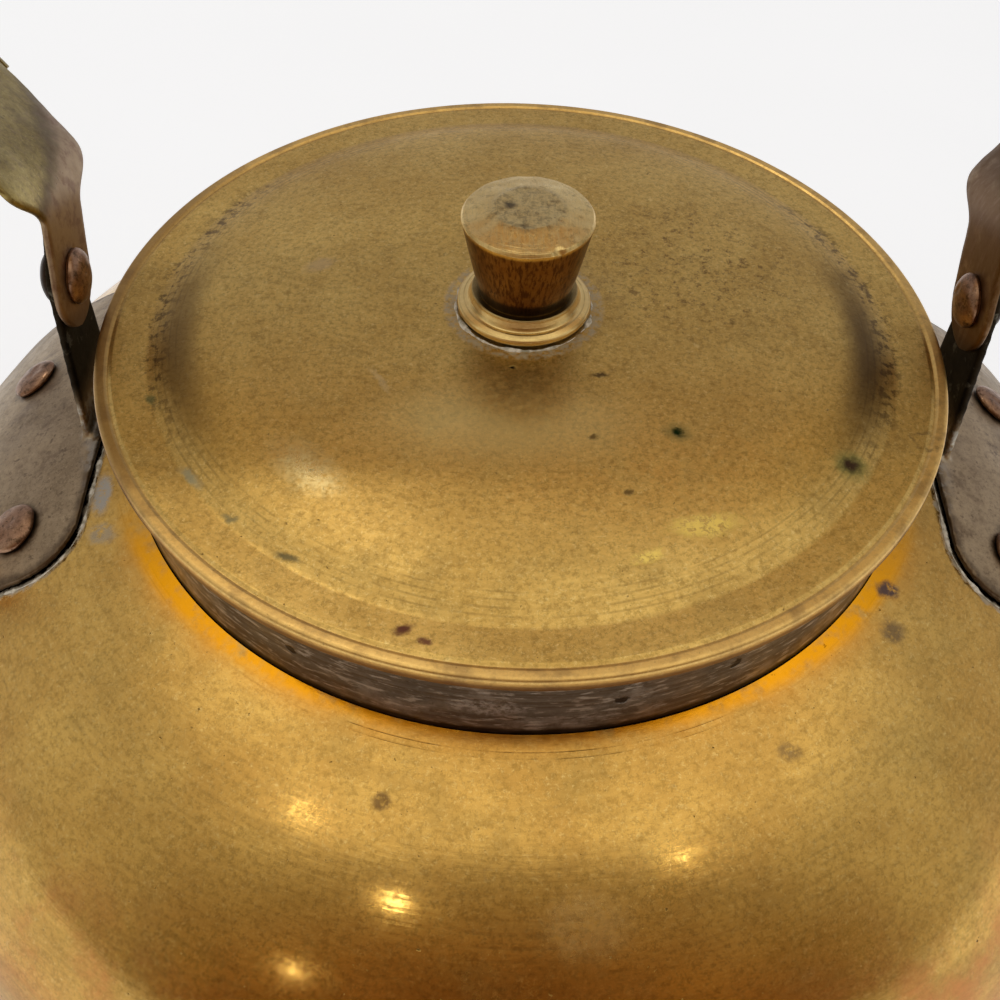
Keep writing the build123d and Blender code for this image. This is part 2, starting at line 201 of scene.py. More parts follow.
# %% Floor
def matt(name, scale, dark, pale, stops=(0.0, 1.0)):
    """Matt material of two tones in a noise, its shader's inputs, and the noise and tone as links."""
    material = bpy.data.materials.new(name)
    material.use_nodes = True
    tree = material.node_tree
    place = add(tree, "TexCoord")
    grain = add(tree, "TexNoise", {"Vector": place.outputs["Object"], "Scale": scale, "Detail": 4.0})
    tone = add(tree, "ValToRGB", {0: grain.outputs["Fac"]})
    for knot, colour, stop in zip(tone.color_ramp.elements, (dark, pale), stops):
        knot.color = linear(colour)
        knot.position = stop
    surface = tree.nodes["Principled BSDF"].inputs
    tree.links.new(tone.outputs[0], surface["Base Color"])
    surface["Roughness"].default_value = 0.9
    return material, surface, grain.outputs["Fac"], tone.outputs[0]


def paper_white():
    """Paper: pale pulp with very faint clouds, lit from below."""
    material, surface, _, tone = matt("matt_paper", 9.0, "#e7ebf0", "#eaeef3")
    material.node_tree.links.new(tone, surface["Emission Color"])
    surface["Emission Strength"].default_value = 0.48
    surface["Specular IOR Level"].default_value = 0.2
    return material


def make_floor(reach):
    """Round pale floor that the kettle stands on."""
    shape = bmesh.new()
    bmesh.ops.create_circle(shape, cap_ends=True, segments=96, radius=reach)
    data = bpy.data.meshes.new("floor")
    shape.to_mesh(data)
    shape.free()
    floor = bpy.data.objects.new("floor", data)
    scene.collection.objects.link(floor)
    data.materials.append(paper_white())
    return floor


floor = make_floor(12.0)
print("floor", round(floor.dimensions.x, 1), "m across")

# %% [markdown]
# ## A metal finish, built up in coats
#
# Old metal is many things on top of each other: the bare tone, clouds of tarnish, specks and pits,
# tool marks, then the stains of one kettle's life. A finish here is started, gets one coat after
# another, and is closed. Each coat is a mask between 0 and 1 worked out from the place on the
# metal in millimetres, and a mask may change the tone, the roughness and the height. Noise in
# nodes does this without a picture, and it never repeats.

# %% Start and close a finish
streak_pull = 16.0


def start_metal(name, stir=2.4):
    """New metal: the place on it in millimetres, also stirred, turned, and pulled along the turning.

    In the pulled one a radian counts as few millimetres as streak_pull says, so streaks run round.
    """
    material = bpy.data.materials.new(name)
    material.use_nodes = True
    tree = material.node_tree
    place = add(tree, "TexCoord")
    mm = add(tree, "VectorMath", {0: place.outputs["Object"], "Scale": 1 / MM}, operation="SCALE").outputs[0]
    drift = add(tree, "TexNoise", {"Vector": mm, "Scale": 1 / 2.2, "Detail": 5.0, "Roughness": 0.65})
    drift = calc_vector(tree, "SUBTRACT", drift.outputs["Color"], (0.5, 0.5, 0.5))
    loose = calc_vector(tree, "MULTIPLY_ADD", drift, (stir,) * 3, mm)
    x, y, z = add(tree, "SeparateXYZ", {0: mm}).outputs
    out = calc_vector(tree, "LENGTH", add(tree, "CombineXYZ", {0: x, 1: y}).outputs[0])
    turned = add(tree, "CombineXYZ", {0: out, 1: z}).outputs[0]
    around = calc(tree, "ARCTAN2", x, calc(tree, "MULTIPLY", y, -1.0))
    around = calc(tree, "MULTIPLY", around, streak_pull)
    swirl = add(tree, "CombineXYZ", {0: out, 1: z, 2: around}).outputs[0]
    return SimpleNamespace(material=material, tree=tree, mm=mm, loose=loose, x=x, y=y, z=z, out=out,
                           turned=turned, swirl=swirl, tone=None, rough=None, height=0.0)


def close_metal(metal):
    """Join the coats to the shader: tone, roughness, and one bump whose height is in millimetres."""
    surface = metal.tree.nodes["Principled BSDF"]
    surface.inputs["Metallic"].default_value = 1.0
    metal.tree.links.new(metal.tone, surface.inputs["Base Color"])
    metal.tree.links.new(metal.rough, surface.inputs["Roughness"])
    if metal.height:
        bump = add(metal.tree, "Bump", {"Height": metal.height, "Strength": 1.0, "Distance": MM})
        metal.tree.links.new(bump.outputs[0], surface.inputs["Normal"])
    return metal.material


# %% Coats
def cloud(metal, size, low, high, detail=6.0, ragged=0.65, where=None):
    """Mask of soft noise of a size in millimetres, 0 under the low level and 1 over the high one."""
    grain = add(metal.tree, "TexNoise", {"Vector": where or metal.mm, "Scale": 1 / size, "Detail": detail,
                                         "Roughness": ragged})
    return ramp(metal.tree, grain.outputs["Fac"], low, high)


def specks(metal, spacing, share, widest):
    """Mask of round pits: one in each cell of a spacing, in a share of the cells, up to a radius."""
    cells = add(metal.tree, "TexVoronoi", {"Vector": metal.loose, "Scale": 1 / spacing, "Randomness": 1.0})
    lot = add(metal.tree, "SeparateColor", {0: cells.outputs["Color"]})
    size = add(metal.tree, "MapRange", {0: lot.outputs[0], 1: 1 - share, 4: widest / spacing})
    inside = calc(metal.tree, "SUBTRACT", size.outputs[0], cells.outputs["Distance"])
    return add(metal.tree, "MapRange", {0: inside, 2: 0.05}).outputs[0]


def spot(metal, centre, size, turn=0.0, soft=0.4, where=None):
    """Mask of one oval place: centre and half sizes in millimetres, turn in degrees, ragged edge."""
    near = add(metal.tree, "Mapping", {"Vector": where or metal.loose, "Location": centre, "Scale": size,
                                       "Rotation": (0, 0, math.radians(turn))}, vector_type="TEXTURE")
    return ramp(metal.tree, calc_vector(metal.tree, "LENGTH", near.outputs[0]), 1.0, 1.0 - soft)


def both(metal, one, other):
    """Mask where two masks meet; either may be a plain number."""
    return calc(metal.tree, "MULTIPLY", one, other)


def tint(metal, mask, colour, strength=1.0):
    """Colour the tone where the mask is."""
    share = mask if strength == 1.0 else both(metal, mask, strength)
    metal.tone = mix(metal.tree, share, metal.tone, linear(colour))


def roughen(metal, mask, amount):
    """Change the roughness by an amount where the mask is."""
    metal.rough = calc(metal.tree, "MULTIPLY_ADD", mask, amount, metal.rough, clamp=True)


def carve(metal, mask, depth):
    """Lower the surface by a depth in millimetres where the mask is; a minus depth raises it."""
    metal.height = calc(metal.tree, "MULTIPLY_ADD", mask, -depth, metal.height)


def coat(metal, mask, colour, strength, dull=0.0, depth=0.0):
    """One coat where the mask is: tinted, made duller or glossier, and cut to a depth."""
    tint(metal, mask, colour, strength)
    if dull:
        roughen(metal, mask, dull)
    if depth:
        carve(metal, mask, depth)


def pit(metal, spacing, share, widest, colour, strength, depth, dull=0.0):
    """Coat of pits, which are dull if they hold dirt."""
    coat(metal, specks(metal, spacing, share, widest), colour, strength, dull, depth)


def ground(metal, dull, bright, size, gloss, spread):
    """First coat: two tones of the metal in clouds, and the roughness that goes with them."""
    mask = cloud(metal, size, 0.34, 0.68)
    metal.tone = mix(metal.tree, mask, linear(dull), linear(bright))
    metal.rough = add(metal.tree, "MapRange", {0: mask, 3: gloss + spread, 4: gloss}).outputs[0]


def grain(metal, size, dark, light, strength):
    """Fine mottling all over: darker and paler grains of a size in millimetres."""
    tint(metal, cloud(metal, size, 0.44, 0.66, detail=4.0, ragged=0.85), dark, strength)
    pale = cloud(metal, 0.6 * size, 0.52, 0.72, detail=3.0, ragged=0.8, where=metal.loose)
    tint(metal, pale, light, strength)
    roughen(metal, cloud(metal, 1.4 * size, 0.44, 0.66, detail=4.0), 0.06)


def band(metal, value, start, end, fade):
    """Mask of the stretch between two values, fading at both ends."""
    rise = ramp(metal.tree, value, start - fade, start + fade)
    fall = ramp(metal.tree, value, end + fade, end - fade)
    return both(metal, rise, fall)


def grooves(metal, value, start, end, spacing, depth):
    """Turned lines, half worn away: a wave over a stretch of the radius or height, cut to a depth."""
    wave = calc(metal.tree, "SINE", calc(metal.tree, "MULTIPLY", value, 2 * math.pi / spacing))
    mask = both(metal, ramp(metal.tree, wave, 0.35, 1.0), band(metal, value, start, end, 0.3))
    mask = both(metal, mask, cloud(metal, 6.0, 0.36, 0.60))
    carve(metal, mask, depth)
    return mask


print("coats: cloud, specks, spot, band, grooves; each may tint, roughen or carve")

# %% Sizes of the spun sheets
# Millimetres. The body is two quarter ellipses, shoulder above and flank below the belly.
sheet = 1.5
belly_radius, belly_height, base_radius = 116.0, 64.0, 96.0
mouth_radius, mouth_height = 62.6, 125.0
shoulder_centre, flank_centre = 40.3, 66.0
pan_sheet, pan_height = 1.2, 8.0
collar_sheet, collar_top, collar_foot = 1.4, 140.5, 122.0
lid_radius, lid_sheet, lid_lip, lid_flange = 65.0, 1.2, 139.0, 141.7
rim_width, rim_drop = 2.05, 1.5
dome_radius, dome_rise, crown_flat = 55.7, 3.6, 14.0
crown = lid_flange + dome_rise
foot_radius, foot_height = 10.2, 3.6
foot_top = crown + foot_height
knob_bottom, knob_top, knob_height, knob_crown = 7.0, 9.7, 13.0, 1.3
knob_edge = foot_top + knob_height
stud_radius = 2.4
ear_sheet, ear_inner, ear_outer, ear_half_length, ear_corner = 1.3, 67.0, 101.0, 34.5, 9.0
ear_rivets = ((77.8, -25.0), (84.5, 10.5), (94.0, -11.0))
head_radius, head_rise, shank_radius, tail_radius, tail_rise = 4.4, 1.9, 1.8, 3.2, 1.0
pivot_rise, pivot_radius, rivet_play = 2.2, 2.5, 0.15
flange_sheet, flange_middle, flange_across, flange_up = 1.5, 44.5, 26.4, 30.9

# The handle leans back about its pivots. Its widths are half widths across the strap.
pivot_height, lean = 148.6, math.radians(20)
strap, strap_play, strap_inner, pivot_grip = 1.0, 0.1, 67.8, 2.5
tongue_radius, tongue_length = 7.7, 11.0
shoulder_half, shoulder_low, shoulder_high = 15.5, 15.0, 19.0
grip_half, grip_start, hem_start = 20.0, 25.0, 25.5
bend_start, bend_radius, bend_turn, splay_length = 10.0, 12.0, 48.0, 8.0
side_radius, side_turn = 38.0, 112.0

shoulder_across = belly_radius - shoulder_centre
mouth_share = (mouth_radius - shoulder_centre) / shoulder_across
shoulder_up = (mouth_height - belly_height) / math.sqrt(1 - mouth_share ** 2)
flank_across = belly_radius - flank_centre
flank_down = belly_height / math.sqrt(1 - ((base_radius - flank_centre) / flank_across) ** 2)


def shoulder_at(x, y):
    """Point on the shoulder above a place in plan, and the way its surface faces."""
    r = math.hypot(x, y)
    share = (r - shoulder_centre) / shoulder_across
    z = belly_height + shoulder_up * math.sqrt(1 - share ** 2)
    slope = Vector((x / r * share / shoulder_across, y / r * share / shoulder_across,
                    (z - belly_height) / shoulder_up ** 2))
    return Vector((x, y, z)), slope.normalized()


def ear_border(metal):
    """Distance in plan to the edge of the nearer ear's plate, minus inside it."""
    middle = ((ear_inner + ear_outer) / 2, 0, 0)
    reach = ((ear_outer - ear_inner) / 2 - ear_corner, ear_half_length - ear_corner, 1000)
    tree, side = metal.tree, metal.loose
    for less in (middle, reach):
        side = calc_vector(tree, "SUBTRACT", calc_vector(tree, "ABSOLUTE", side), less)
    past = calc_vector(tree, "LENGTH", calc_vector(tree, "MAXIMUM", side, (0, 0, 0)))
    parts = add(tree, "SeparateXYZ", {0: side}).outputs
    deep = calc(tree, "MINIMUM", calc(tree, "MAXIMUM", parts["X"], parts["Y"]), 0.0)
    return calc(tree, "SUBTRACT", calc(tree, "ADD", past, deep), ear_corner)


# %% [markdown]
# ## Spun brass for the body
#
# Brass is copper and zinc. Sheet brass pressed over a turning wooden form keeps fine rings from
# the tool. Years of polish leave the shoulder glossy and golden, with an olive film in clouds, dark
# pin pits where damp sat, and a redder tone low on the belly, where fire took some of the zinc.
# Typical roughness of polished old brass is 0.15 to 0.25.

# %% Body finish
def body_finish():
    metal = start_metal("spun_brass_body")
    ground(metal, "#d0a252", "#edc066", 24, 0.12, 0.07)
    film = cloud(metal, 13, 0.50, 0.74)
    coat(metal, film, "#b09453", 0.4, dull=0.07)
    grain(metal, 1.0, "#8e6e30", "#ffdf92", 0.45)
    for start, end, size, low, high, colour, strength in ((108, 94, 8.0, 0.34, 0.64, "#946c3a", 0.5),
                                                          (100, 92, 9.0, 0.32, 0.68, "#ab4d18", 0.55)):
        fire = cloud(metal, size, low, high, where=metal.swirl)
        tint(metal, both(metal, ramp(metal.tree, metal.z, start, end), fire), colour, strength)
    warm = both(metal, cloud(metal, 20, 0.42, 0.62), ramp(metal.tree, metal.z, 113, 98))
    tint(metal, warm, "#c97f48", 0.75)
    tint(metal, cloud(metal, 2.4, 0.58, 0.78, detail=9.0, ragged=0.75), "#8a6c38", 0.5)
    for spacing, share, widest in ((2.4, 0.40, 0.26), (1.0, 0.30, 0.13)):
        pit(metal, spacing, share, widest, "#46371c", 0.75, 0.1 * widest, dull=0.3)
    rings = cloud(metal, 0.7, 0.44, 0.70, detail=3.0, where=metal.swirl)
    coat(metal, rings, "#a8823e", 0.25, depth=0.0015)
    tint(metal, cloud(metal, 3.0, 0.50, 0.68, where=metal.swirl), "#a07c40", 0.2)
    tint(metal, grooves(metal, metal.out, 64.6, 66.3, 0.85, 0.010), "#9a7530", 0.3)
    aside = calc(metal.tree, "ABSOLUTE", metal.x)
    reach = calc(metal.tree, "MULTIPLY_ADD", aside, -0.06, metal.out)
    near = ramp(metal.tree, metal.y, -18, -38)
    # Painted reflection: an orange glow on the front of the shoulder beside the collar, where light thrown
    # back by the collar and lid would fall.
    for start, end, size, low, high, colour, strength in ((66.5, 61.5, 8.0, 0.32, 0.60, "#e89a30", 0.5),
                                                          (63.6, 61.4, 3.0, 0.26, 0.54, "#ffae0c", 0.9)):
        painted_glow = both(metal, ramp(metal.tree, reach, start, end), near)
        tint(metal, both(metal, painted_glow, cloud(metal, size, low, high)), colour, strength)
    # Painted reflection: a pink tinge low on the left and right of the belly.
    painted_side_reflection = both(metal, ramp(metal.tree, aside, 74, 116), ramp(metal.tree, metal.z, 112, 84))
    tint(metal, both(metal, painted_side_reflection, cloud(metal, 26, 0.30, 0.62)), "#efb08e", 0.45)
    side_lines = grooves(metal, metal.out, 74, 93, 1.35, 0.002)
    side_lines = both(metal, side_lines, cloud(metal, 16, 0.50, 0.70))
    tint(metal, side_lines, "#8a6d38", 0.35)

    edge = ear_border(metal)
    line = both(metal, band(metal, edge, 0.0, 1.0, 0.35), cloud(metal, 2.2, 0.36, 0.52))
    # Painted shadow: a near-black rim along each ear plate's edge, where the plate stands off the shoulder.
    tint(metal, band(metal, edge, -6.0, 0.4, 0.3), "#1d1710", 0.9)
    coat(metal, line, "#c9c2b2", 0.85, dull=0.5)
    film_marks = (
        ((54.4, -36.8, 124.1), (2.4, 2.0, 4), 20, "#5d4c49", 0.75),
        ((54.1, -43.4, 122.9), (2.6, 2.4, 4), 0, "#6d5a45", 0.6),
        ((-17.5, -70.8, 121.5), (1.7, 1.5, 4), 0, "#6b4f33", 0.6),
        ((36.3, -62.5, 121.8), (2.4, 1.6, 4), 10, "#7d6243", 0.5),
        ((-64.5, -21.5, 123.5), (2.2, 5.0, 6), 8, "#b5ad9c", 0.75),
        ((-63.0, -29.0, 123.0), (3.4, 2.2, 6), -30, "#a9a08c", 0.5),
        ((9.0, -84.5, 115.5), (8.0, 6.0, 6), 0, "#cdbf9d", 0.10),
    )
    for centre, size, turn, colour, strength in film_marks:
        mark = spot(metal, centre, size, turn, soft=0.6)
        tint(metal, both(metal, mark, cloud(metal, 1.2, 0.30, 0.50)), colour, min(1.0, 1.3 * strength))
        roughen(metal, mark, 0.12)
    drop = (-2.4, -78.9, 118.8)
    dry = calc(metal.tree, "SUBTRACT", 1.0, spot(metal, drop, (1.8, 1.6, 5)))
    tide = both(metal, spot(metal, drop, (2.5, 2.2, 5)), dry)
    tint(metal, both(metal, tide, cloud(metal, 1.5, 0.42, 0.60)), "#9b7440", 0.4)
    return close_metal(metal)


body_brass = body_finish()
print("finish", body_brass.name, len(body_brass.node_tree.nodes), "nodes")

# %% [markdown]
# ## Spun brass for the lid
#
# The lid is the same sheet, but nobody polished it: hands and steam left it olive and half matt,
# with spots round the knob, lime where drops dried, one green pit and one place scraped bright.

# %% Lid finish
def lid_finish():
    metal = start_metal("spun_brass_lid")
    ground(metal, "#d2ac5e", "#e8c370", 22, 0.35, 0.06)
    film = cloud(metal, 9, 0.48, 0.72)
    coat(metal, film, "#b89c5c", 0.45, dull=0.08)
    grain(metal, 0.9, "#86692e", "#ffe69c", 0.50)
    tint(metal, cloud(metal, 2.0, 0.56, 0.80, detail=9.0, ragged=0.75), "#8d7443", 0.55)
    for spacing, share, widest in ((2.2, 0.45, 0.24), (0.9, 0.35, 0.12), (6.0, 0.30, 0.55)):
        pit(metal, spacing, share, widest, "#4c3b22", 0.7, 0.03, dull=0.25)
    rings = cloud(metal, 0.6, 0.40, 0.68, detail=3.0, where=metal.swirl)
    coat(metal, rings, "#a98546", 0.25, depth=0.0012)
    tint(metal, grooves(metal, metal.out, 52.6, 56.4, 1.05, 0.010), "#8f7440", 0.4)
    for side in (-1, 1):
        damp = spot(metal, (side * 50, 5, 142), (24, 42, 20), soft=0.6)
        damp = both(metal, band(metal, metal.out, 54.0, 58.0, 1.5), damp)
        tint(metal, both(metal, damp, cloud(metal, 1.5, 0.50, 0.60)), "#5e4728", 0.75)
    # Painted light: a pale gold pool on the dome in front of the knob.
    tint(metal, spot(metal, (-3, -25, 145), (24, 11, 20), soft=1.0, where=metal.mm), "#fff0a8", 0.5)
    # Painted highlight: a pale streak on the dome's front left, made a little glossier as well.
    painted_highlight = spot(metal, (-29.5, -33.5, 144), (9.0, 4.2, 20), -40, soft=1.0)
    painted_highlight = both(metal, painted_highlight, cloud(metal, 0.8, 0.30, 0.60))
    coat(metal, painted_highlight, "#fff2b4", 0.9, dull=-0.20)

    under_hand = spot(metal, (2, 3, 145), (19, 16, 9), soft=0.8)
    tint(metal, both(metal, under_hand, cloud(metal, 4.0, 0.42, 0.66)), "#97805a", 0.45)
    spotted = spot(metal, (27, 12, 145), (27, 25, 9), soft=0.7)
    spots = both(metal, spotted, cloud(metal, 1.5, 0.52, 0.64, detail=6.0, ragged=0.8))
    coat(metal, spots, "#5c4434", 0.65, dull=0.15)
    dome_foot = band(metal, metal.out, 50.0, 55.0, 2.2)
    # Painted reflection: dark bands on the dome's foot at left and right, where the handle's grip is
    # mirrored.
    for side, near, colour, strength in ((-1, -8, "#7a6038", 0.75), (1, -6, "#5e482c", 0.85)):
        painted_grip_reflection = both(metal, dome_foot, spot(metal, (side * 52, near, 143), (26, 30, 20), soft=0.9))
        tint(metal, painted_grip_reflection, colour, strength)

    foot_ring = both(metal, band(metal, metal.out, 10.2, 12.2, 0.5), cloud(metal, 1.1, 0.38, 0.60))
    coat(metal, foot_ring, "#cfc6ae", 0.8, dull=0.35)
    bead = ramp(metal.tree, metal.out, 62.6, 63.4)
    tint(metal, bead, "#ffd283", 0.45)
    tint(metal, both(metal, bead, cloud(metal, 5.0, 0.48, 0.66)), "#8d6d48", 0.45)
    left_bead = both(metal, bead, ramp(metal.tree, metal.x, -46, -58))
    tint(metal, left_bead, "#85623a", 0.6)
    tint(metal, ramp(metal.tree, metal.z, 140.9, 140.1), "#6f4630", 0.7)

    marks = (
        ((21.4, -25.8, 144.9), (2.8, 2.3, 4), -15, "#8a7a48", 0.6, 0.0),
        ((21.4, -25.8, 144.9), (1.3, 0.9, 4), -15, "#1f3315", 0.95, 0.12),
        ((45.7, -29.2, 142.6), (3.8, 3.5, 4), 0, "#6f7a45", 0.6, 0.0),
        ((45.7, -29.2, 142.6), (1.9, 2.0, 4), 0, "#54402f", 0.85, 0.03),
        ((-1.7, -14.1, 145.3), (0.9, 0.55, 3), 0, "#15110c", 1.0, 0.08),
        ((-32.3, 9.1, 144.8), (3.6, 2.2, 4), 30, "#d6c096", 0.45, 0.0),
        ((-14.8, -57.9, 141.6), (1.9, 1.1, 3), 20, "#693c34", 0.75, 0.02),
        ((-12.0, -59.6, 141.7), (1.3, 0.8, 3), -10, "#6f4038", 0.7, 0.0),
        ((9.7, -27.4, 145.0), (1.0, 0.8, 3), 0, "#735a34", 0.7, 0.02),
        ((13.9, -36.9, 144.5), (0.9, 0.8, 3), 0, "#6c5430", 0.7, 0.02),
        ((11.1, -15.1, 145.3), (2.2, 0.6, 3), 10, "#5a4730", 0.7, 0.0),
        ((-45.3, -34.0, 141.8), (3.4, 1.2, 3), -42, "#a9a587", 0.65, -0.05),
        ((-53.9, -19.0, 141.6), (2.0, 1.0, 3), -60, "#57603e", 0.6, 0.0),
        ((-30.5, -47.3, 141.7), (2.4, 0.9, 3), -22, "#7d7350", 0.7, -0.04),
        ((-38.8, -41.1, 141.7), (1.8, 0.8, 3), -30, "#8f8863", 0.6, -0.04),
        ((-20.7, -17.2, 145.1), (4.2, 0.8, 3), -55, "#dcc79a", 0.4, 0.0),
    )
    for centre, size, turn, colour, strength, depth in marks:
        mark = both(metal, spot(metal, centre, size, turn, soft=0.8), cloud(metal, 0.7, 0.18, 0.42))
        coat(metal, mark, colour, min(1.0, 1.25 * strength), dull=0.2, depth=depth)
    worn_ring = band(metal, spot(metal, (57.8, -23.2, 141.6), (3.0, 3.0, 4), soft=1.0), 0.25, 0.5, 0.15)
    tint(metal, both(metal, worn_ring, cloud(metal, 1.2, 0.36, 0.60)), "#6d5436", 0.6)

    scrapes = (((23.8, -41.7, 143.8), (6.6, 2.4, 4), 12), ((15.9, -46.9, 143.6), (3.0, 1.3, 4), 25))
    for centre, size, turn in scrapes:
        bare = spot(metal, centre, size, turn, soft=0.7)
        bare = both(metal, bare, cloud(metal, 0.9, 0.40, 0.52, detail=5.0, ragged=0.8))
        coat(metal, bare, "#ffe27a", 1.0, dull=0.05, depth=0.03)
    return close_metal(metal)


lid_brass = lid_finish()
print("finish", lid_brass.name, len(lid_brass.node_tree.nodes), "nodes")

# %% [markdown]
# ## Other metals of the kettle
#
# The collar is brass that was tinned, a skin of grey tin wiped on hot, now dull and streaked. The
# ears are thick plates with a brown patina, never polished. The straps were cut by hand from sheet
# and are dull olive where hands don't reach, with a pinkish painted reflection on the tongues.
# Rivets are soft copper, hammered over. The bottom pan went dark in the fire.

# %% Collar finish
def tinned_finish():
    metal = start_metal("tinned_brass_collar")
    ground(metal, "#6f675a", "#938b7d", 9, 0.38, 0.10)
    streaks = cloud(metal, 0.7, 0.42, 0.62, detail=4.0, where=metal.turned)
    coat(metal, streaks, "#5c4a36", 0.6, depth=0.01)
    tint(metal, cloud(metal, 6, 0.50, 0.66), "#b3aca0", 0.55)
    tint(metal, cloud(metal, 2.0, 0.60, 0.76), "#3f3226", 0.7)
    worn = both(metal, spot(metal, (-4, -62.6, 131), (7, 5, 2.4), soft=0.7), cloud(metal, 0.8, 0.40, 0.60))
    tint(metal, worn, "#c9c4bb", 0.8)
    wiped = cloud(metal, 0.8, 0.52, 0.66, detail=4.0, where=metal.swirl)
    tint(metal, wiped, "#d9d2c4", 0.6)
    # Painted shadow: a near-black line at the collar's foot, where it meets the mouth.
    tint(metal, ramp(metal.tree, metal.z, 126.6, 125.6), "#120d08", 0.9)
    for centre, size in (((-30, -55.0, 132), 1.0), ((13, -61.2, 132), 1.1), ((28, -56.0, 133), 0.9)):
        coat(metal, spot(metal, centre, (size, size, size)), "#2a2018", 0.9, depth=0.05)
    return close_metal(metal)


tinned_brass = tinned_finish()
print("finish", tinned_brass.name)

# %% Ear finish
def ear_finish():
    metal = start_metal("brown_patina_ears")
    ground(metal, "#968266", "#b39c7a", 14, 0.34, 0.10)
    grain(metal, 0.8, "#5e4c38", "#cbb592", 0.40)
    tint(metal, cloud(metal, 5.0, 0.50, 0.70), "#6c5640", 0.6)
    tint(metal, cloud(metal, 1.6, 0.56, 0.72, detail=8.0), "#5a4636", 0.6)
    pit(metal, 1.5, 0.5, 0.20, "#3a2c20", 0.7, 0.05)
    edge = ear_border(metal)
    tint(metal, ramp(metal.tree, edge, -2.0, -0.3), "#4a3a2c", 0.75)
    lug = ramp(metal.tree, metal.z, 127, 134)
    # Painted shade: the standing lug is made near black, as it lies in the lid's shade; grey residue is
    # clouded over it next.
    coat(metal, lug, "#14110c", 0.93, dull=0.2)
    tint(metal, both(metal, lug, cloud(metal, 2.4, 0.58, 0.68)), "#8a8676", 0.6)
    lug_foot = band(metal, metal.z, 124.5, 129.5, 1.2)
    tint(metal, both(metal, lug_foot, cloud(metal, 1.6, 0.42, 0.56)), "#c9c6ba", 0.9)
    for side in (-1, 1):
        for x, y in ear_rivets:
            seat = shoulder_at(side * x, y)[0]
            ring = spot(metal, tuple(seat), (5.9, 5.9, 5.9), soft=0.35)
            tint(metal, ring, "#33261b", 0.7)
    return close_metal(metal)


# %% Handle finish
def strap_finish():
    metal = start_metal("hand_cut_brass_strap")
    ground(metal, "#93804a", "#b19d60", 11, 0.34, 0.12)
    grain(metal, 0.9, "#57482c", "#d2bf84", 0.40)
    tint(metal, cloud(metal, 4.0, 0.50, 0.70), "#75623c", 0.6)
    tint(metal, cloud(metal, 1.3, 0.58, 0.72, detail=8.0), "#54472c", 0.65)
    pit(metal, 1.8, 0.5, 0.28, "#3d3320", 0.7, 0.05)
    place = calc_vector(metal.tree, "SUBTRACT", metal.loose, (0, 0, pivot_height))
    across = calc_vector(metal.tree, "DOT_PRODUCT", place, (0, math.cos(lean), -math.sin(lean)))
    up = calc_vector(metal.tree, "DOT_PRODUCT", place, (0, math.sin(lean), math.cos(lean)))
    slant = calc(metal.tree, "MULTIPLY_ADD", across, -0.45, up)
    # Painted reflection: the tongues get a pinkish tone up to a slanted line where the strap turns outward.
    tongue = ramp(metal.tree, slant, 16.5, 13)
    tint(metal, tongue, "#a38a70", 0.85)
    tint(metal, band(metal, slant, 14.0, 16.5, 1.2), "#4d3a28", 0.6)
    held = ramp(metal.tree, up, 55, 85)
    coat(metal, held, "#e9c677", 0.8, dull=-0.10)
    tint(metal, both(metal, tongue, cloud(metal, 2.6, 0.46, 0.64)), "#7c5a42", 0.7)
    tint(metal, ramp(metal.tree, up, 0, -7), "#8f6b4c", 0.6)
    # Painted shade: the right arm and tongue are made darker brown, as the kettle's right side lies in
    # shade.
    right_side_painted_shade = both(metal, ramp(metal.tree, metal.x, 20, 60), ramp(metal.tree, up, 26, 20))
    tint(metal, both(metal, right_side_painted_shade, cloud(metal, 5.0, 0.20, 0.50)), "#634420", 0.9)
    streak = add(metal.tree, "Mapping", {"Vector": metal.mm, "Scale": (1.0, 1.0, 0.12)})
    tint(metal, cloud(metal, 1.0, 0.52, 0.66, where=streak.outputs[0]), "#8a6f5a", 0.35)
    return close_metal(metal)


# %% Rivet, pan, spout, knob and hidden metals
def rivet_finish():
    metal = start_metal("hammered_copper_rivets")
    ground(metal, "#86654f", "#a98569", 3.0, 0.30, 0.10)
    grain(metal, 0.7, "#4d382a", "#c9a88a", 0.45)
    tint(metal, cloud(metal, 1.4, 0.50, 0.66), "#54402f", 0.75)
    aside = calc(metal.tree, "ABSOLUTE", metal.x)
    # Painted shade: the pivot rivets' outer ends behind the lugs are made near black.
    high = ramp(metal.tree, metal.z, 136, 140)
    tint(metal, both(metal, ramp(metal.tree, aside, 69.0, 70.0), high), "#15110d", 0.9)
    pit(metal, 0.9, 0.4, 0.16, "#33241b", 0.7, 0.04)
    return close_metal(metal)


def pan_finish():
    metal = start_metal("fire_dark_copper_pan")
    ground(metal, "#8a5236", "#b36f49", 20, 0.34, 0.12)
    tint(metal, cloud(metal, 12, 0.42, 0.62), "#3a2a22", 0.8)
    tint(metal, cloud(metal, 3.0, 0.52, 0.70), "#5d3a28", 0.6)
    rings = cloud(metal, 1.0, 0.40, 0.66, detail=3.0, where=metal.turned)
    carve(metal, rings, 0.01)
    return close_metal(metal)


def spout_finish():
    metal = start_metal("raised_brass_spout")
    ground(metal, "#c29550", "#dfb263", 20, 0.20, 0.09)
    film = cloud(metal, 9, 0.46, 0.70)
    coat(metal, film, "#9c824c", 0.6, dull=0.1)
    tint(metal, cloud(metal, 2.4, 0.56, 0.76, detail=9.0), "#80663a", 0.6)
    pit(metal, 2.6, 0.4, 0.3, "#46371c", 0.7, 0.04)
    planished = cloud(metal, 5.0, 0.30, 0.70, detail=1.0)
    carve(metal, planished, 0.05)
    return close_metal(metal)


